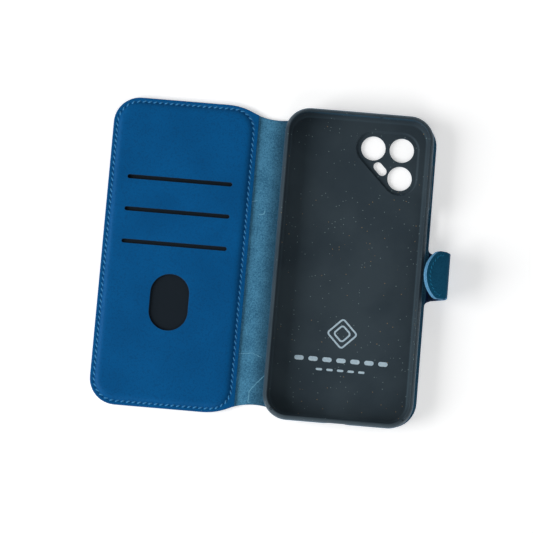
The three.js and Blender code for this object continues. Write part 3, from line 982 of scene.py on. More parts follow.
@dataclass
class Blank:
    """The one piece of leather for front, spine, back and strap, lying flat, suede side up."""

    bench: Bench
    wardrobe: Wardrobe
    front: float = -131.5
    back: float = 41.6
    half: float = 82.35
    corner: float = 14.0
    waist_x: float = -43.5
    waist_half: float = 76.2
    waist_run: float = 27.6
    thickness: float = 1.1
    spine_fold: float = -39.7
    cover_fold: float = -53.9
    strap_y: float = -1.4
    strap_half: float = 12.5
    strap_fillet: float = 3.0
    strap_fold: float = 43.2
    strap_length: float = 17.2
    strap_angle: float = 63.0
    root_radius: float = 1.2

    @property
    def middle_of_spine(self) -> float:
        """The x where the two halves of the spine meet."""
        return (self.spine_fold + self.cover_fold) / 2

    @property
    def root_cut(self) -> float:
        """The x where the strap leaves the back, just before its bend."""
        return self.strap_fold - 1.2

    def flat(self, along: float) -> float:
        """The flat x of a point on the strap.

        Args:
            along: its distance from the strap's fold when the strap is bent, in millimetres.

        Returns:
            Its x while the leather lies flat.
        """
        turn = math.radians(self.strap_angle)
        return self.strap_fold + along + self.root_radius * (turn - 2 * math.tan(turn / 2))

    def waist_arcs(self, top: bool) -> list[Arc]:
        """The three arcs of the waist on one long side, in the order of the outline."""
        drop, run = self.half - self.waist_half, self.waist_run
        radius = run * run / (4 * drop) + drop / 4
        turn = math.degrees(math.asin(run / 2 / radius))
        sign = 1 if top else -1
        quarter = 90 * sign
        hump = sign * (self.half - radius)
        hollow = sign * (self.waist_half + radius)
        arcs = [
            Arc(self.waist_x - run, hump, radius, quarter, quarter - sign * turn),
            Arc(self.waist_x, hollow, radius, sign * (turn - 90), -sign * (turn + 90)),
            Arc(self.waist_x + run, hump, radius, quarter + sign * turn, quarter),
        ]
        if not top:
            return [
                Arc(arcs[0].x, arcs[0].y, radius, -90, turn - 90),
                Arc(arcs[1].x, arcs[1].y, radius, 90 + turn, 90 - turn),
                Arc(arcs[2].x, arcs[2].y, radius, -90 - turn, -90),
            ]
        return [
            Arc(arcs[2].x, arcs[2].y, radius, 90, 90 + turn),
            Arc(arcs[1].x, arcs[1].y, radius, turn - 90, -90 - turn),
            Arc(arcs[0].x, arcs[0].y, radius, 90 - turn, 90),
        ]

    def outline(self) -> Outline:
        """The blank's outline, with the strap's root drawn out past where it is cut."""
        r, f = self.corner, self.strap_fillet
        low, high = self.strap_y - self.strap_half, self.strap_y + self.strap_half
        end = self.strap_fold + self.strap_length + 4
        arcs = [
            Arc(self.back - r, -self.half + r, r, -90, 0),
            Arc(self.back + f, low - f, f, 180, 90),
            Arc(end - 1, low + 1, 1, -90, 0),
            Arc(end - 1, high - 1, 1, 0, 90),
            Arc(self.back + f, high + f, f, 270, 180),
            Arc(self.back - r, self.half - r, r, 0, 90),
            *self.waist_arcs(True),
            Arc(self.front + r, self.half - r, r, 90, 180),
            Arc(self.front + r, -self.half + r, r, 180, 270),
            *self.waist_arcs(False),
        ]
        return Outline(arcs, steps=12)

    def sheet(self) -> BMesh:
        """The whole blank, lying flat, with its edges rounded over."""
        return sweep(self.outline(), soft_edge(0.0, self.thickness, 0.35))

    def dress(self, body: BMesh) -> None:
        """Lays the flat map and marks suede, smooth side and edge."""
        lay_flat_map(body)
        sides(body, 0, 1, 2)

    @property
    def coats(self) -> list[Coat]:
        """The leather's finishes: suede, smooth side, cut edge."""
        return self.wardrobe.parts("suede", "outer", "edge")

    def build_back(self, window: BMesh) -> None:
        """Makes the back with the spine half that folds up from it.

        Args:
            window: the cutter for the camera's cut-out.
        """
        body = self.sheet()
        keep(body, self.middle_of_spine, Side.ABOVE)
        keep(body, self.root_cut, Side.BELOW)
        body = combined(body, window, Combine.CUT, 2)
        score(body, 0, self.spine_fold - 5.0, self.spine_fold + 0.6, 0.35)
        score(body, 1, -72.0, 72.0, 8.0)
        self.dress(body)
        piece = self.bench.piece("back_leather_sheet", body, self.coats)
        at = self.bench.at
        start, end = at(self.spine_fold, 0, 0), at(self.spine_fold - 4.5, 0, 0)
        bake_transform(piece, "case_back", "spine", start=start, end=end)
        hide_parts("back_leather", "spine_leather")

    def build_front(self, seam: Outline) -> None:
        """Makes the front cover's leather with the spine half that folds over onto it.

        Args:
            seam: the stitch line, which leaves a channel in the smooth side.
        """
        body = self.sheet()
        keep(body, self.middle_of_spine, Side.BELOW)
        channel = steps(
            (0.5, -0.5), (0.5, 0.0), (0.22, 0.3), (-0.22, 0.3), (-0.5, 0.0), (-0.5, -0.5),
        )
        ring = sweep(seam, channel, bottom=False, top=False)
        first = [edge for edge in ring.edges if edge.is_boundary]
        bmesh.ops.bridge_loops(ring, edges=first)
        bmesh.ops.recalc_face_normals(ring, faces=ring.faces)
        body = combined(body, ring, Combine.CUT, 1)
        score(body, 0, self.cover_fold - 2.1, self.cover_fold + 2.8, 0.35)
        self.dress(body)
        piece = self.bench.piece("front_leather_sheet", body, self.coats)
        at = self.bench.at
        start, end = at(self.cover_fold + 2.2, 0, 0), at(self.cover_fold - 1.5, 0, 0)
        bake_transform(piece, "spine", "front_cover", start=start, end=end)
        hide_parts("front_leather")

    def build_strap(self) -> None:
        """Makes the strap's outer leather, bent up out of the back."""
        body = self.sheet()
        keep(body, self.root_cut, Side.ABOVE)
        keep(body, self.flat(self.strap_length / 2), Side.BELOW)
        start = self.flat(0) - 0.7
        score(body, 0, start - 0.5, start + 3.5, 0.2)
        lay_flat_map(body)
        sides(body, 0, 1, 2)
        self.bend_root(body)
        coats = self.wardrobe.parts("strap_inner_flat", "outer", "edge")
        piece = self.bench.piece("strap_leather_band", body, coats)
        half_turn = math.radians(self.strap_angle / 2)
        along = Vector((math.cos(half_turn), 0, math.sin(half_turn)))
        hinge = Vector((self.strap_fold, 0, self.thickness))
        start, end = self.bench.at(*(hinge - along * 1.0)), self.bench.at(*(hinge + along * 1.6))
        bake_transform(piece, "case_back", "strap", start=start, end=end)
        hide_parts("strap_leather")

    def bend_root(self, body: BMesh) -> None:
        """Bends everything beyond the strap's fold up to its angle at rest."""
        tangent = self.root_radius * math.tan(math.radians(self.strap_angle / 2))
        bend(body, self.strap_fold - tangent, self.root_radius, self.strap_angle, self.thickness)

    @property
    def strap_frame(self) -> Matrix:
        """The strap's own frame, in millimetres: x from its fold, z out of its inner face."""
        turn = turned("Y", -self.strap_angle)
        return shifted(self.strap_fold, 0, self.thickness) @ turn


@dataclass
class Camera:
    """The camera island: its outline, its recess and its holes."""

    x: float = 23.25
    y: float = 65.4
    pitch: float = 15.2
    margin: float = 9.45
    wall: float = 1.2
    lens: float = 6.5
    base: float = 1.4
    floor: float = 2.7

    def outline(self, margin: float) -> Outline:
        """The island's outline at a distance from the lens centres."""
        arcs = [
            Arc(self.x, self.y, margin, 0, 90),
            Arc(self.x - self.pitch, self.y, margin, 90, 225),
            Arc(self.x, self.y - self.pitch, margin, 225, 360),
        ]
        return Outline(arcs, steps=20)

    def window(self) -> BMesh:
        """The cutter for the leather's cut-out, flared a little at the leather's smooth side."""
        walls = steps((0.6, -0.5), (0.25, 0.0), (0.0, 0.3), (0.0, 0.9), (0.2, 1.1), (0.6, 1.6))
        return sweep(self.outline(self.margin + self.wall + 0.4), walls)

    def island(self) -> BMesh:
        """The island's body, which reaches down through the leather."""
        walls = steps((-0.5, 0.15), (-0.2, 0.22), (0.0, 0.5), (0.0, 2.2))
        return sweep(self.outline(self.margin + self.wall), walls)

    def recess(self) -> BMesh:
        """The cutter for the recess: a sloping wall with a round lip."""
        walls = steps(
            (-1.15, self.base), (-0.95, self.base + 0.05), (-0.75, self.base + 0.25),
            (-0.25, self.floor - 0.25), (-0.1, self.floor - 0.08), (0.15, self.floor),
            (0.15, self.floor + 1.0),
        )
        return sweep(self.outline(self.margin), walls)

    def bores(self) -> BMesh:
        """The cutters for three lenses and the flash, with a small chamfer at the recess floor."""
        centres = [(self.x, self.y), (self.x - self.pitch, self.y), (self.x, self.y - self.pitch)]
        top = self.base
        walls = steps(
            (0.25, -0.3), (0.25, 0.15), (0.0, 0.4), (0.0, top - 0.2), (0.08, top - 0.05),
            (0.25, top), (0.25, top + 0.6),
        )
        rings = [Outline(rounded(x, y, self.lens, self.lens, self.lens), 12) for x, y in centres]
        holes = [sweep(ring, walls) for ring in rings]
        flash = sweep(Outline(rounded(0, 0, 4.1, 2.35, 2.35), 8), walls)
        inwards = self.pitch / 2 + 4.5 * math.sqrt(0.5)
        place = shifted(self.x - inwards, self.y - inwards) @ turned("Z", -45)
        return merged([*holes, move(flash, place)])


@dataclass
class Shell:
    """The moulded tray that grips the phone."""

    bench: Bench
    wardrobe: Wardrobe
    camera: Camera
    half_x: float = 39.65
    half_y: float = 82.9
    corner: float = 13.3
    base: float = 1.4
    floor: float = 2.7
    top: float = 13.9
    key_z: float = 7.95
    notch_y: float = -11.3  # from the middle of a corner's arc to the notch
    notch_foot: float = 12.9

    def profile(self) -> list[Station]:
        """The wall's stations, up the outside, over the rim and down the inside."""
        thick, parts = 1.8, 8
        foot_in, foot_rise, foot_top = 3.6, 6.0, 7.4
        outer_in, outer_rise, outer_start = 3.2, 5.6, 8.8
        inner_in, inner_rise, inner_start = 2.2, 5.0, 9.9
        hollow_in, hollow_rise, hollow_top = 2.4, 5.0, 7.7
        stations = []
        for step in range(parts + 1):
            a = math.radians(90 * step / parts)
            out = -foot_in * (1 - math.sin(a))
            stations.append(Station(out, foot_top - foot_rise * math.cos(a)))
        for z in (outer_start, 9.8, 10.8, 11.7, 12.5, 13.1, 13.5):
            rise = (z - outer_start) / outer_rise
            stations.append(Station(-outer_in * (1 - math.sqrt(1 - rise * rise)), z))
        stations += steps(
            (-1.62, 13.7), (-1.79, 13.85), (-2.0, 13.9), (-2.21, 13.85), (-2.38, 13.7),
        )
        for z in (13.5, 13.1, 12.5, 11.7, 10.8, inner_start, hollow_top):
            rise = max(0.0, (z - inner_start) / inner_rise)
            stations.append(Station(-thick - inner_in * (1 - math.sqrt(1 - rise * rise)), z))
        for step in range(1, parts):
            a = math.radians(90 - 90 * step / parts)
            out = -thick - hollow_in * (1 - math.sin(a))
            stations.append(Station(out, hollow_top - hollow_rise * math.cos(a)))
        stations += steps((-4.2, self.floor))
        return stations

    def wall_cutter(
        self, half_long: float, half_high: float, place: Matrix, lip: float = 0.45
    ) -> BMesh:
        """A slot-shaped cutter through a wall, flared where it meets the outside.

        Args:
            half_long: half its length along the wall.
            half_high: half its height.
            place: where it stands, with its z pointing out of the wall.
            lip: how far it flares.

        Returns:
            The cutter.
        """
        walls = steps(
            (0.0, -4.0), (0.0, -lip), (lip * 0.3, -lip * 0.3), (lip, 0.05), (lip * 1.4, 1.5),
        )
        radius = min(half_long, half_high)
        body = sweep(Outline(rounded(0, 0, half_long, half_high, radius), 8), walls)
        return move(body, place)

    def foot(self, x: float) -> Matrix:
        """A place on the wall beside the charging port, with z out of it."""
        return shifted(x, -self.half_y, self.key_z) @ turned("X", 90)

    def head(self, x: float) -> Matrix:
        """A place on the opposite wall, with z out of it."""
        return shifted(x, self.half_y, self.key_z) @ turned("X", -90)

    def flank(self, y: float) -> Matrix:
        """A place on the wall with the keys: x runs along the case, and z points out."""
        axes = Matrix(((0, 0, 1, 0), (1, 0, 0, 0), (0, 1, 0, 0), (0, 0, 0, 1)))
        return shifted(self.half_x, y, self.key_z) @ axes

    def openings(self) -> BMesh:
        """The cutters for port, speaker, microphones, power key and the two notches in the rim."""
        cutters = [
            self.wall_cutter(6.25, 3.1, self.foot(0)),
            self.wall_cutter(7.0, 1.3, self.foot(20), 0.3),
            self.wall_cutter(1.0, 1.0, self.foot(-11), 0.25),
            self.wall_cutter(1.0, 1.0, self.head(11), 0.25),
            self.wall_cutter(8.0, 2.5, self.flank(25.5)),
        ]
        for side in (-1, 1):
            plan = Outline(rounded(0, self.notch_y, 0.8, 1.9, 0.25), 3)
            notch = sweep(plan, steps((0, self.notch_foot), (0.15, self.top + 0.3)))
            corner = shifted(side * (self.half_x - self.corner), -self.half_y + self.corner)
            cutters.append(move(notch, corner @ turned("Z", 45 * side)))
        return merged(cutters)

    def key_dome(self) -> BMesh:
        """The raised cover over the volume keys."""
        walls = steps((0.1, -1.0), (0.1, 0.0), (-0.15, 0.28), (-0.5, 0.47), (-1.0, 0.55))
        body = sweep(Outline(rounded(0, 0, 12, 2.1, 2.0), 8), walls)
        return move(body, self.flank(46))

    def build(self) -> None:
        """Makes the tray."""
        outline = Outline(rounded(0, 0, self.half_x, self.half_y, self.corner), 16)
        body = sweep(outline, self.profile())
        body = combined(body, merged([self.camera.island(), self.key_dome()]), Combine.JOIN)
        body = combined(body, merged([self.camera.recess(), self.openings()]), Combine.CUT)
        body = combined(body, self.camera.bores(), Combine.CUT)
        coats = self.wardrobe.parts("moulding")
        piece = self.bench.piece("shell_moulding", body, coats, 28, flatten=True)
        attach(piece, "case_back")
        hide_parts("phone_shell")

    def build_print(self) -> None:
        """Makes the plain mark on the tray's floor: two nested diamonds over two rows of dashes."""
        low, high = self.floor - 0.005, self.floor + 0.02
        layers = []
        turn = shifted(-0.5, -35.0) @ turned("Z", 45)
        for half, line in ((5.6, 0.45), (3.2, 0.45)):
            outline = Outline(rounded(0, 0, half, half, 1.4), 6)
            ring = sweep(outline, steps((line, low), (line, high), (-line, high), (-line, low)),
                         bottom=False, top=False)
            bmesh.ops.bridge_loops(ring, edges=[edge for edge in ring.edges if edge.is_boundary])
            layers.append(move(ring, turn))
        rows = ((-49.3, 7, 7.4, 2.5, 1.2), (-54.6, 5, 5.6, 1.7, 0.6))
        for y, count, pitch, half_x, half_y in rows:
            for number in range(count):
                x = (number - (count - 1) / 2) * pitch
                dash = Outline(rounded(x, y, half_x, half_y, half_y), 4)
                layers.append(sweep(dash, steps((0, low), (0, high))))
        body = merged(layers)
        bmesh.ops.recalc_face_normals(body, faces=body.faces)
        piece = self.bench.piece("shell_print", body, self.wardrobe.parts("ink"))
        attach(piece, "case_back")


# ---------------------------------------------------------------- stitching


@dataclass
class StitchRow:
    """A row of lock stitches along a seam, each a slanted, twisted, arched length of thread."""

    length: float = 2.8
    width: float = 0.34
    rise: float = 0.22
    slant: float = 27.0

    def stitch(self) -> BMesh:
        """One stitch along x, arched over z, of two twisted plies, and a dark disc of painted shade for its
        needle hole.
        """
        body = bmesh.new()
        bmesh.ops.create_circle(body, segments=8, radius=self.width, cap_ends=True)
        move(body, shifted(-self.length / 2, 0) @ turned("Y", 90))
        slices = 7
        front = list(body.faces)
        for _ in range(slices):
            first = len(body.faces) == 1
            grown = bmesh.ops.extrude_face_region(body, geom=front, use_keep_orig=first)["geom"]
            if front[0].is_valid and len(body.faces) > 10:
                bmesh.ops.delete(body, geom=front, context="FACES_ONLY")
            front = [part for part in grown if isinstance(part, Face)]
            bmesh.ops.translate(body, vec=(self.length / slices, 0, 0), verts=front[0].verts)
        for vert in body.verts:
            share = 2 * vert.co.x / self.length
            around = math.atan2(vert.co.z, vert.co.y)
            full = 0.45 + 0.55 * math.sqrt(max(0.0, 1 - abs(share) ** 3))
            ply = 1 + 0.16 * math.cos(2 * around - 3.4 * share)
            vert.co.y *= full * ply
            vert.co.z = vert.co.z * full * ply * 0.8 + self.rise * (1 - 2.2 * share * share)
        bmesh.ops.recalc_face_normals(body, faces=body.faces)
        threads = set(body.faces)
        # painted shade: a flat dark disc stands in for the shaded inside of the needle hole
        place = shifted(self.length / 2 + 0.05, 0, -0.02)
        bmesh.ops.create_cone(
            body, cap_ends=True, segments=8, radius1=0.42, radius2=0.34, depth=0.12, matrix=place
        )
        for face in body.faces:
            face.material_index = 0 if face in threads else 1
        return body

    def row(
        self,
        path: Sequence[Vector],
        z: float,
        place: Matrix,
        closed: bool = True,
        down: bool = False,
    ) -> BMesh:
        """Lays stitches along a path, one for every four of its points.

        Args:
            path: the seam's points, in millimetres.
            z: the height of the surface.
            place: the frame that the path is given in.
            closed: whether the row comes back to its start.
            down: whether the stitches lie on the under face.

        Returns:
            The row of stitches.
        """
        pattern = bpy.data.meshes.new("stitch")
        one = self.stitch()
        one.to_mesh(pattern)
        one.free()
        whole = bmesh.new()
        last = len(path) if closed else len(path) - 4
        for index in range(0, last, 4):
            a, b = path[index], path[(index + 4) % len(path)]
            heading = (b - a).normalized()
            across = UP.cross(heading)
            axes = Matrix((heading, across, UP)).transposed().to_4x4()
            tilt = turned("Z", self.slant)
            flip = turned("X", 180 if down else 0)
            spot = shifted((a.x + b.x) / 2, (a.y + b.y) / 2, z)
            before = len(whole.verts)
            whole.from_mesh(pattern)
            whole.verts.ensure_lookup_table()
            matrix = place @ spot @ axes @ flip @ tilt
            bmesh.ops.transform(whole, matrix=matrix, verts=whole.verts[before:])
        bpy.data.meshes.remove(pattern)
        return whole


@dataclass
class FrontCover:
    """The front cover's inside: the raised card panel, its pockets and its stitching."""

    bench: Bench
    wardrobe: Wardrobe
    blank: Blank
    end: float = -54.15
    middle: float = -93.3
    border: float = 2.3
    low: float = 1.2
    top: float = 3.6
    ceiling: float = 2.6
    seam_in: float = 2.1
    seam_fold: float = 2.3
    stitch: float = 2.95

    def seam(self) -> Outline:
        """The stitch line."""
        left, right = self.blank.front + self.seam_in, self.end - self.seam_fold
        half = self.blank.half - self.seam_in
        arcs = [
            Arc(right - 11, -half + 11, 11, -90, 0),
            Arc(right - 11, half - 11, 11, 0, 90),
            Arc(left + 11.9, half - 11.9, 11.9, 90, 180),
            Arc(left + 11.9, -half + 11.9, 11.9, 180, 270),
        ]
        return Outline(arcs, quarter_pitch=self.stitch / 4)

    def slots(self) -> BMesh:
        """The cutters for the three card slots and the thumb window, with rounded lips."""
        lip = steps(
            (0, -1), (0, self.top - 0.25), (0.06, self.top - 0.08), (0.22, self.top + 0.06),
            (0.3, self.top + 1.5),
        )
        cutters = []
        for y in (39.3, 22.0, 4.7):
            cutters.append(sweep(Outline(rounded(self.middle, y, 27.95, 1.0, 1.0), 6), lip))
        cutters.append(sweep(Outline(rounded(self.middle, -26.1, 10.25, 14.95, 10.25), 24), lip))
        return merged(cutters)

    def cushion(self, seam: Outline) -> BMesh:
        """The leather inside the stitches, drawn down by each one and swelling over the board."""
        walls = steps(
            (0.95, self.border), (0.62, self.border - 0.04, 0.06), (0.4, self.border - 0.18, 0.1),
            (0.2, self.border - 0.36, 0.2), (-0.05, self.border - 0.42, 0.24),
            (-0.3, self.border - 0.3, 0.2), (-0.55, self.border - 0.05, 0.14),
            (-0.85, self.border + 0.24, 0.09), (-1.2, self.border + 0.52, 0.05),
            (-1.65, self.border + 0.8, 0.02), (-2.15, self.border + 1.02),
            (-2.8, self.border + 1.18), (-3.6, self.border + 1.27), (-4.8, self.border + 1.3),
        )
        return sweep(seam, walls, bottom=False)

    def build_panel(self, seam: Outline) -> None:
        """Makes the card panel."""
        body = sweep(self.blank.outline(), soft_edge(self.low, self.border, 0.3))
        keep(body, self.end, Side.BELOW)
        rim = []
        for edge in body.edges:
            first, second = (vert.co for vert in edge.verts)
            at_end = all(abs(spot.x - self.end) < SAME_POINT for spot in (first, second))
            if at_end and abs(first.z - second.z) < 1e-4 and abs(first.z - self.border) < 0.02:
                rim.append(edge)
        bmesh.ops.bevel(
            body, geom=rim, offset=0.25, segments=3, profile=0.5, affect="EDGES", material=-1
        )
        body.normal_update()
        wide = [face for face in body.faces if abs(face.normal.z) > 0.99 and face.calc_area() > 500]
        bmesh.ops.delete(body, geom=wide, context="FACES_ONLY")
        hollow = sweep(seam, steps((-1.2, self.low), (-1.2, self.ceiling)), bottom=False)
        body = merged([body, self.cushion(seam), hollow])
        for z in (self.border, self.low):
            rings = [edge for edge in body.edges if edge.is_boundary
                     and all(abs(vert.co.z - z) < 0.005 for vert in edge.verts)]
            bmesh.ops.triangle_fill(body, use_beauty=True, edges=rings, normal=UP)
        bmesh.ops.remove_doubles(body, verts=body.verts, dist=1e-4)
        body.normal_update()
        plateau = [face for face in body.faces if face.calc_area() > 500
                   and abs(face.calc_center_median().z - self.top) < 0.05]
        score(body, 0, self.blank.front + 8, self.end - 8, 2.5, plateau)
        body.normal_update()
        bmesh.ops.recalc_face_normals(body, faces=body.faces)
        body = combined(body, self.slots(), Combine.CUT, 1)
        lay_flat_map(body)
        coats = self.wardrobe.parts("panel", "edge")
        piece = self.bench.piece("card_panel_leather", body, coats, 50, flatten=True)
        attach(piece, "front_cover")
        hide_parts("card_panel")

    def build_stitches(self, seam: Outline) -> None:
        """Makes the stitches on the inside and on the outside of the cover."""
        row = StitchRow()
        path = seam.points()
        inside = row.row(path, self.border - 0.2, Matrix.Identity(4))
        outside = row.row(path, 0.27, Matrix.Identity(4), down=True)
        for name, body, node in (
            ("panel_stitches", inside, "panel_stitching"),
            ("outer_stitches", outside, "outer_stitching"),
        ):
            piece = self.bench.piece(name, body, self.wardrobe.parts("thread", "hole"), 70)
            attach(piece, "front_cover")
            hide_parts(node)

    def build_liners(self) -> None:
        """Makes the three pocket cloths, each lying on the one behind it."""
        for number in range(3):
            node = f"pocket_liner_{number + 1}"
            low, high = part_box(node)
            width, length = high.x - low.x, high.y - low.y
            body = bmesh.new()
            bmesh.ops.create_grid(body, x_segments=24, y_segments=32, size=0.5)
            bmesh.ops.scale(body, vec=(width / MM, length / MM, 1), verts=body.verts)
            x, y = (low.x + high.x) / 2 - self.bench.middle, (low.y + high.y) / 2
            bmesh.ops.translate(body, vec=(x / MM, y / MM, high.z / MM), verts=body.verts)
            for vert in body.verts:
                spot = Vector((vert.co.x / 9, vert.co.y / 14, number * 3.0))
                vert.co.z -= 0.02 + 0.025 * (1 + noise.noise(spot))
            bmesh.ops.solidify(body, geom=body.faces, thickness=0.1)
            bmesh.ops.recalc_face_normals(body, faces=body.faces)
            coats = self.wardrobe.parts("cloth")
            piece = self.bench.piece(f"pocket_cloth_{number + 1}", body, coats)
            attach(piece, "front_cover")
            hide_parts(node)


@dataclass
class Tab:
    """The clasp's tab, square to the strap: the strap's own leather on top, a lining below."""

    bench: Bench
    wardrobe: Wardrobe
    blank: Blank
    depth: float = 13.0
    tip: float = 15.0
    shoulder: float = 4.0
    lift: float = 0.8
    fold_radius: float = 2.0
    under: float = 1.9
    seam: float = 2.2

    def arcs(self, inset: float, root: float, shift: float = 0.0, y: float = 0.0) -> list[Arc]:
        """The tab's round end.

        Args:
            inset: how far inside the edge.
            root: where its square end lies.
            shift: how far the whole is moved along x.
            y: how far it is moved along y.

        Returns:
            The arcs, from the square end's lower corner round the tip.
        """
        half, tip = self.blank.strap_half - inset, self.depth - inset
        big, small = self.tip - inset, self.shoulder - inset
        centre = tip - big
        reach = math.sqrt((big - small) ** 2 - (half - small) ** 2)
        turn = math.degrees(math.atan2(half - small, reach))
        return [
            Arc(shift + root, y - half + 0.3, 0.3, 180, 270),
            Arc(shift + centre + reach, y - half + small, small, -90, -turn),
            Arc(shift + centre, y, big, -turn, turn),
            Arc(shift + centre + reach, y + half - small, small, turn, 90),
            Arc(shift + root, y + half - 0.3, 0.3, 90, 180),
        ]

    @property
    def crease(self) -> float:
        """The flat x where the tab's fold begins."""
        return self.blank.flat(self.blank.strap_length)

    @property
    def frame(self) -> Matrix:
        """The tab's own frame: x from its fold to its tip, z out of its upper face."""
        turn = turned("Y", 90) @ turned("Z", 180)
        place = shifted(self.blank.strap_length, self.blank.strap_y, self.lift)
        return self.blank.strap_frame @ place @ turn

    def build_top(self) -> None:
        """Makes the leather that runs up the strap, round the fold and on to the tab's tip."""
        blank = self.blank
        run = self.fold_radius * math.pi / 2
        shift = self.crease + run - (self.fold_radius - self.lift)
        arcs = self.arcs(0.0, blank.strap_fold - self.crease - 5, shift, blank.strap_y)
        body = sweep(Outline(arcs, 14), soft_edge(0.0, blank.thickness, 0.3))
        keep(body, blank.flat(blank.strap_length / 2), Side.ABOVE)
        score(body, 0, self.crease - 0.8, self.crease + run + 0.8, 0.22)
        self.round_corners(body, self.crease + run / 2)
        lay_flat_map(body)
        sides(body, 0, 1, 2)
        bend(body, self.crease, self.fold_radius, 90, blank.thickness)
        blank.bend_root(body)
        coats = self.wardrobe.parts("strap_inner_flat", "tab", "pale_edge")
        piece = self.bench.piece("tab_leather_band", body, coats)
        strap = blank.strap_frame
        start = strap @ Vector((blank.strap_length, 0, -0.2))
        end = strap @ Vector((blank.strap_length, 0, self.fold_radius + 0.3))
        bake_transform(piece, "strap", "tab", start=self.bench.at(*start), end=self.bench.at(*end))
        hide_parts("tab_leather")

    def round_corners(self, body: BMesh, fold: float, radius: float = 2.8) -> None:
        """Draws the sides in on both sides of the fold, so that its corners look round.

        Args:
            body: the flat leather.
            fold: the x of the middle of the fold.
            radius: the radius of the corners.
        """
        for vert in body.verts:
            away = abs(vert.co.x - fold)
            if away < radius:
                inset = radius - math.sqrt(radius**2 - (radius - away) ** 2)
                share = 1 - 0.8 * inset / self.blank.strap_half
                vert.co.y = self.blank.strap_y + (vert.co.y - self.blank.strap_y) * share

    def build_under(self) -> None:
        """Makes the tab's thicker lining."""
        body = sweep(Outline(self.arcs(0.0, 1.1), 14), soft_edge(0.0, self.under, 0.35))
        sides(body, 0, 0, 1)
        move(body, self.frame)
        coats = self.wardrobe.parts("tab_under", "pale_edge")
        piece = self.bench.piece("tab_lining_leather", body, coats)
        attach(piece, "tab")
        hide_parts("tab_lining")

    def build_strap_lining(self) -> None:
        """Makes the strap's thin inner leather."""
        blank = self.blank
        half = blank.strap_half - 0.35
        x = (0.9 + blank.strap_length - 0.2) / 2
        outline = Outline(rounded(x, blank.strap_y, x - 0.9, half, 0.8), 5)
        body = sweep(outline, soft_edge(0.05, 0.65, 0.2))
        move(body, blank.strap_frame)
        piece = self.bench.piece("strap_lining_leather", body, self.wardrobe.parts("strap_inner"))
        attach(piece, "strap")
        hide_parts("strap_lining")

    def build_stitches(self) -> None:
        """Makes the stitches that follow the tab's round edge, on its upper and its under face."""
        row = StitchRow(length=2.1, width=0.26, rise=0.14)
        curve = Outline(self.arcs(self.seam, 3.0), quarter_pitch=2.3 / 4)
        path = [point for point in curve.points() if point.x > 2.9]
        start = min(range(len(path)), key=lambda place: (round(path[place].y, 2), path[place].x))
        ordered = path[start:] + path[:start]
        top = row.row(ordered, self.under + 0.05 + self.blank.thickness, self.frame, closed=False)
        below = row.row(ordered, 0.0, self.frame, closed=False, down=True)
        for name, body, node in (
            ("tab_stitches", top, "tab_stitching"),
            ("tab_stitches_below", below, "tab_stitching_under"),
        ):
            piece = self.bench.piece(name, body, self.wardrobe.parts("dull_thread", "hole"), 70)
            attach(piece, "tab")
            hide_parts(node)


# ---------------------------------------------------------------- the set


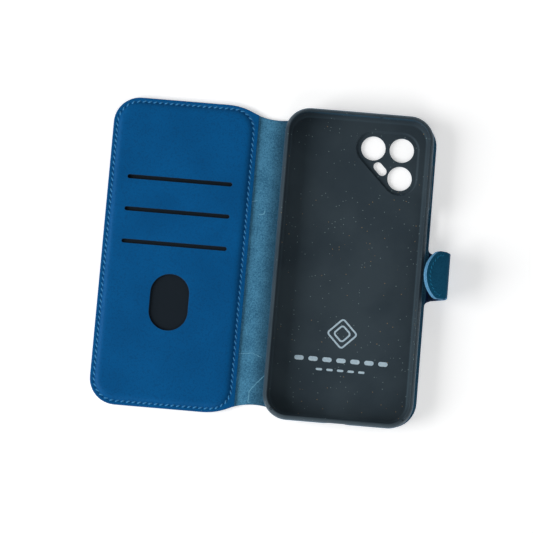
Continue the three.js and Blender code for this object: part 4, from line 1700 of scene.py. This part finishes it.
@dataclass
class Studio:
    """The floor, the soft lights and the camera."""

    lens: float = 139.63
    stand: Point = (0.0175, -0.1112, 1.094)
    turn: Point = (5.75, 0.62, 4.89)

    def build(self) -> None:
        """Sets up everything that isn't the case."""
        scene = bpy.context.scene
        scene.view_settings.view_transform = "Standard"
        self._floor()
        self._sky(scene)
        self._light("window", (-1.3, -0.3, 0.8), 1.1, 22.5)
        self._light("front_fill", (0.2, -1.5, 1.1), 1.2, 9.0)
        self._light("right_fill", (1.5, 0.2, 1.1), 1.2, 3.6)
        self._light("back_fill", (0.3, 1.5, 1.1), 1.2, 3.2)
        data = bpy.data.cameras.new("camera")
        data.lens = self.lens
        data.sensor_width = 36.0
        data.clip_end = 20.0
        camera = bpy.data.objects.new("camera", data)
        scene.collection.objects.link(camera)
        camera.location = self.stand
        camera.rotation_euler = [math.radians(angle) for angle in self.turn]
        scene.camera = camera

    def _floor(self) -> None:
        """Lays a plain pale floor."""
        body = bmesh.new()
        bmesh.ops.create_grid(body, x_segments=8, y_segments=8, size=3.0)
        bmesh.ops.translate(body, vec=(0, 0, -0.0003), verts=body.verts)
        mesh = bpy.data.meshes.new("floor")
        body.to_mesh(mesh)
        body.free()
        coat = bpy.data.materials.new("floor_paper")
        coat.use_nodes = True
        shader = coat.node_tree.nodes["Principled BSDF"]
        shader.inputs["Base Color"].default_value = (0.93, 0.93, 0.93, 1)
        shader.inputs["Roughness"].default_value = 0.9
        shader.inputs["Specular IOR Level"].default_value = 0.1
        shader.inputs["Emission Color"].default_value = (1.0, 1.0, 1.0, 1)
        shader.inputs["Emission Strength"].default_value = 0.40
        mesh.materials.append(coat)
        floor = bpy.data.objects.new("floor", mesh)
        bpy.context.scene.collection.objects.link(floor)

    def _sky(self, scene: bpy.types.Scene) -> None:
        """Gives even light from all round."""
        world = bpy.data.worlds.new("sky")
        world.use_nodes = True
        ground = world.node_tree.nodes["Background"]
        ground.inputs["Color"].default_value = (0.95, 0.98, 1.0, 1)
        ground.inputs["Strength"].default_value = 0.12
        scene.world = world

    def _light(self, name: str, place: Point, size: float, power: float) -> None:
        """Hangs a square soft light that looks at the case.

        Args:
            name: its name.
            place: where it hangs, in metres.
            size: the length of its side, in metres.
            power: its power, in watts.
        """
        data = bpy.data.lights.new(name, "AREA")
        data.shape = "SQUARE"
        data.size = size
        data.energy = power
        light = bpy.data.objects.new(name, data)
        bpy.context.scene.collection.objects.link(light)
        light.location = place
        light.rotation_euler = (-Vector(place)).to_track_quat("-Z", "Y").to_euler()


def dress_hidden_nodes(wardrobe: Wardrobe) -> None:
    """Gives the layers that stay as they are their finishes."""
    for node, part in (
        ("bonding_film", "film"), ("cover_board", "board"),
        ("keeper_plate", "steel"), ("tab_magnet", "nickel"),
    ):
        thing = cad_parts[node]
        thing.data.materials.clear()
        thing.data.materials.append(wardrobe.coats[part])
        LOG.info("%s: dressed", node)


def main() -> None:
    """Builds the case, lights it and reports it."""
    logging.basicConfig(level=logging.INFO, format="%(message)s")
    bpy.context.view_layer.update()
    Studio().build()
    bench = Bench.under_the_case()
    wardrobe = Wardrobe()
    dress_hidden_nodes(wardrobe)
    camera = Camera()
    blank = Blank(bench, wardrobe)
    cover = FrontCover(bench, wardrobe, blank)
    shell = Shell(bench, wardrobe, camera)
    tab = Tab(bench, wardrobe, blank)
    seam = cover.seam()
    blank.build_back(camera.window())
    blank.build_front(seam)
    blank.build_strap()
    shell.build()
    shell.build_print()
    cover.build_panel(seam)
    cover.build_stitches(seam)
    cover.build_liners()
    tab.build_top()
    tab.build_under()
    tab.build_strap_lining()
    tab.build_stitches()


if __name__ == "__main__":
    main()
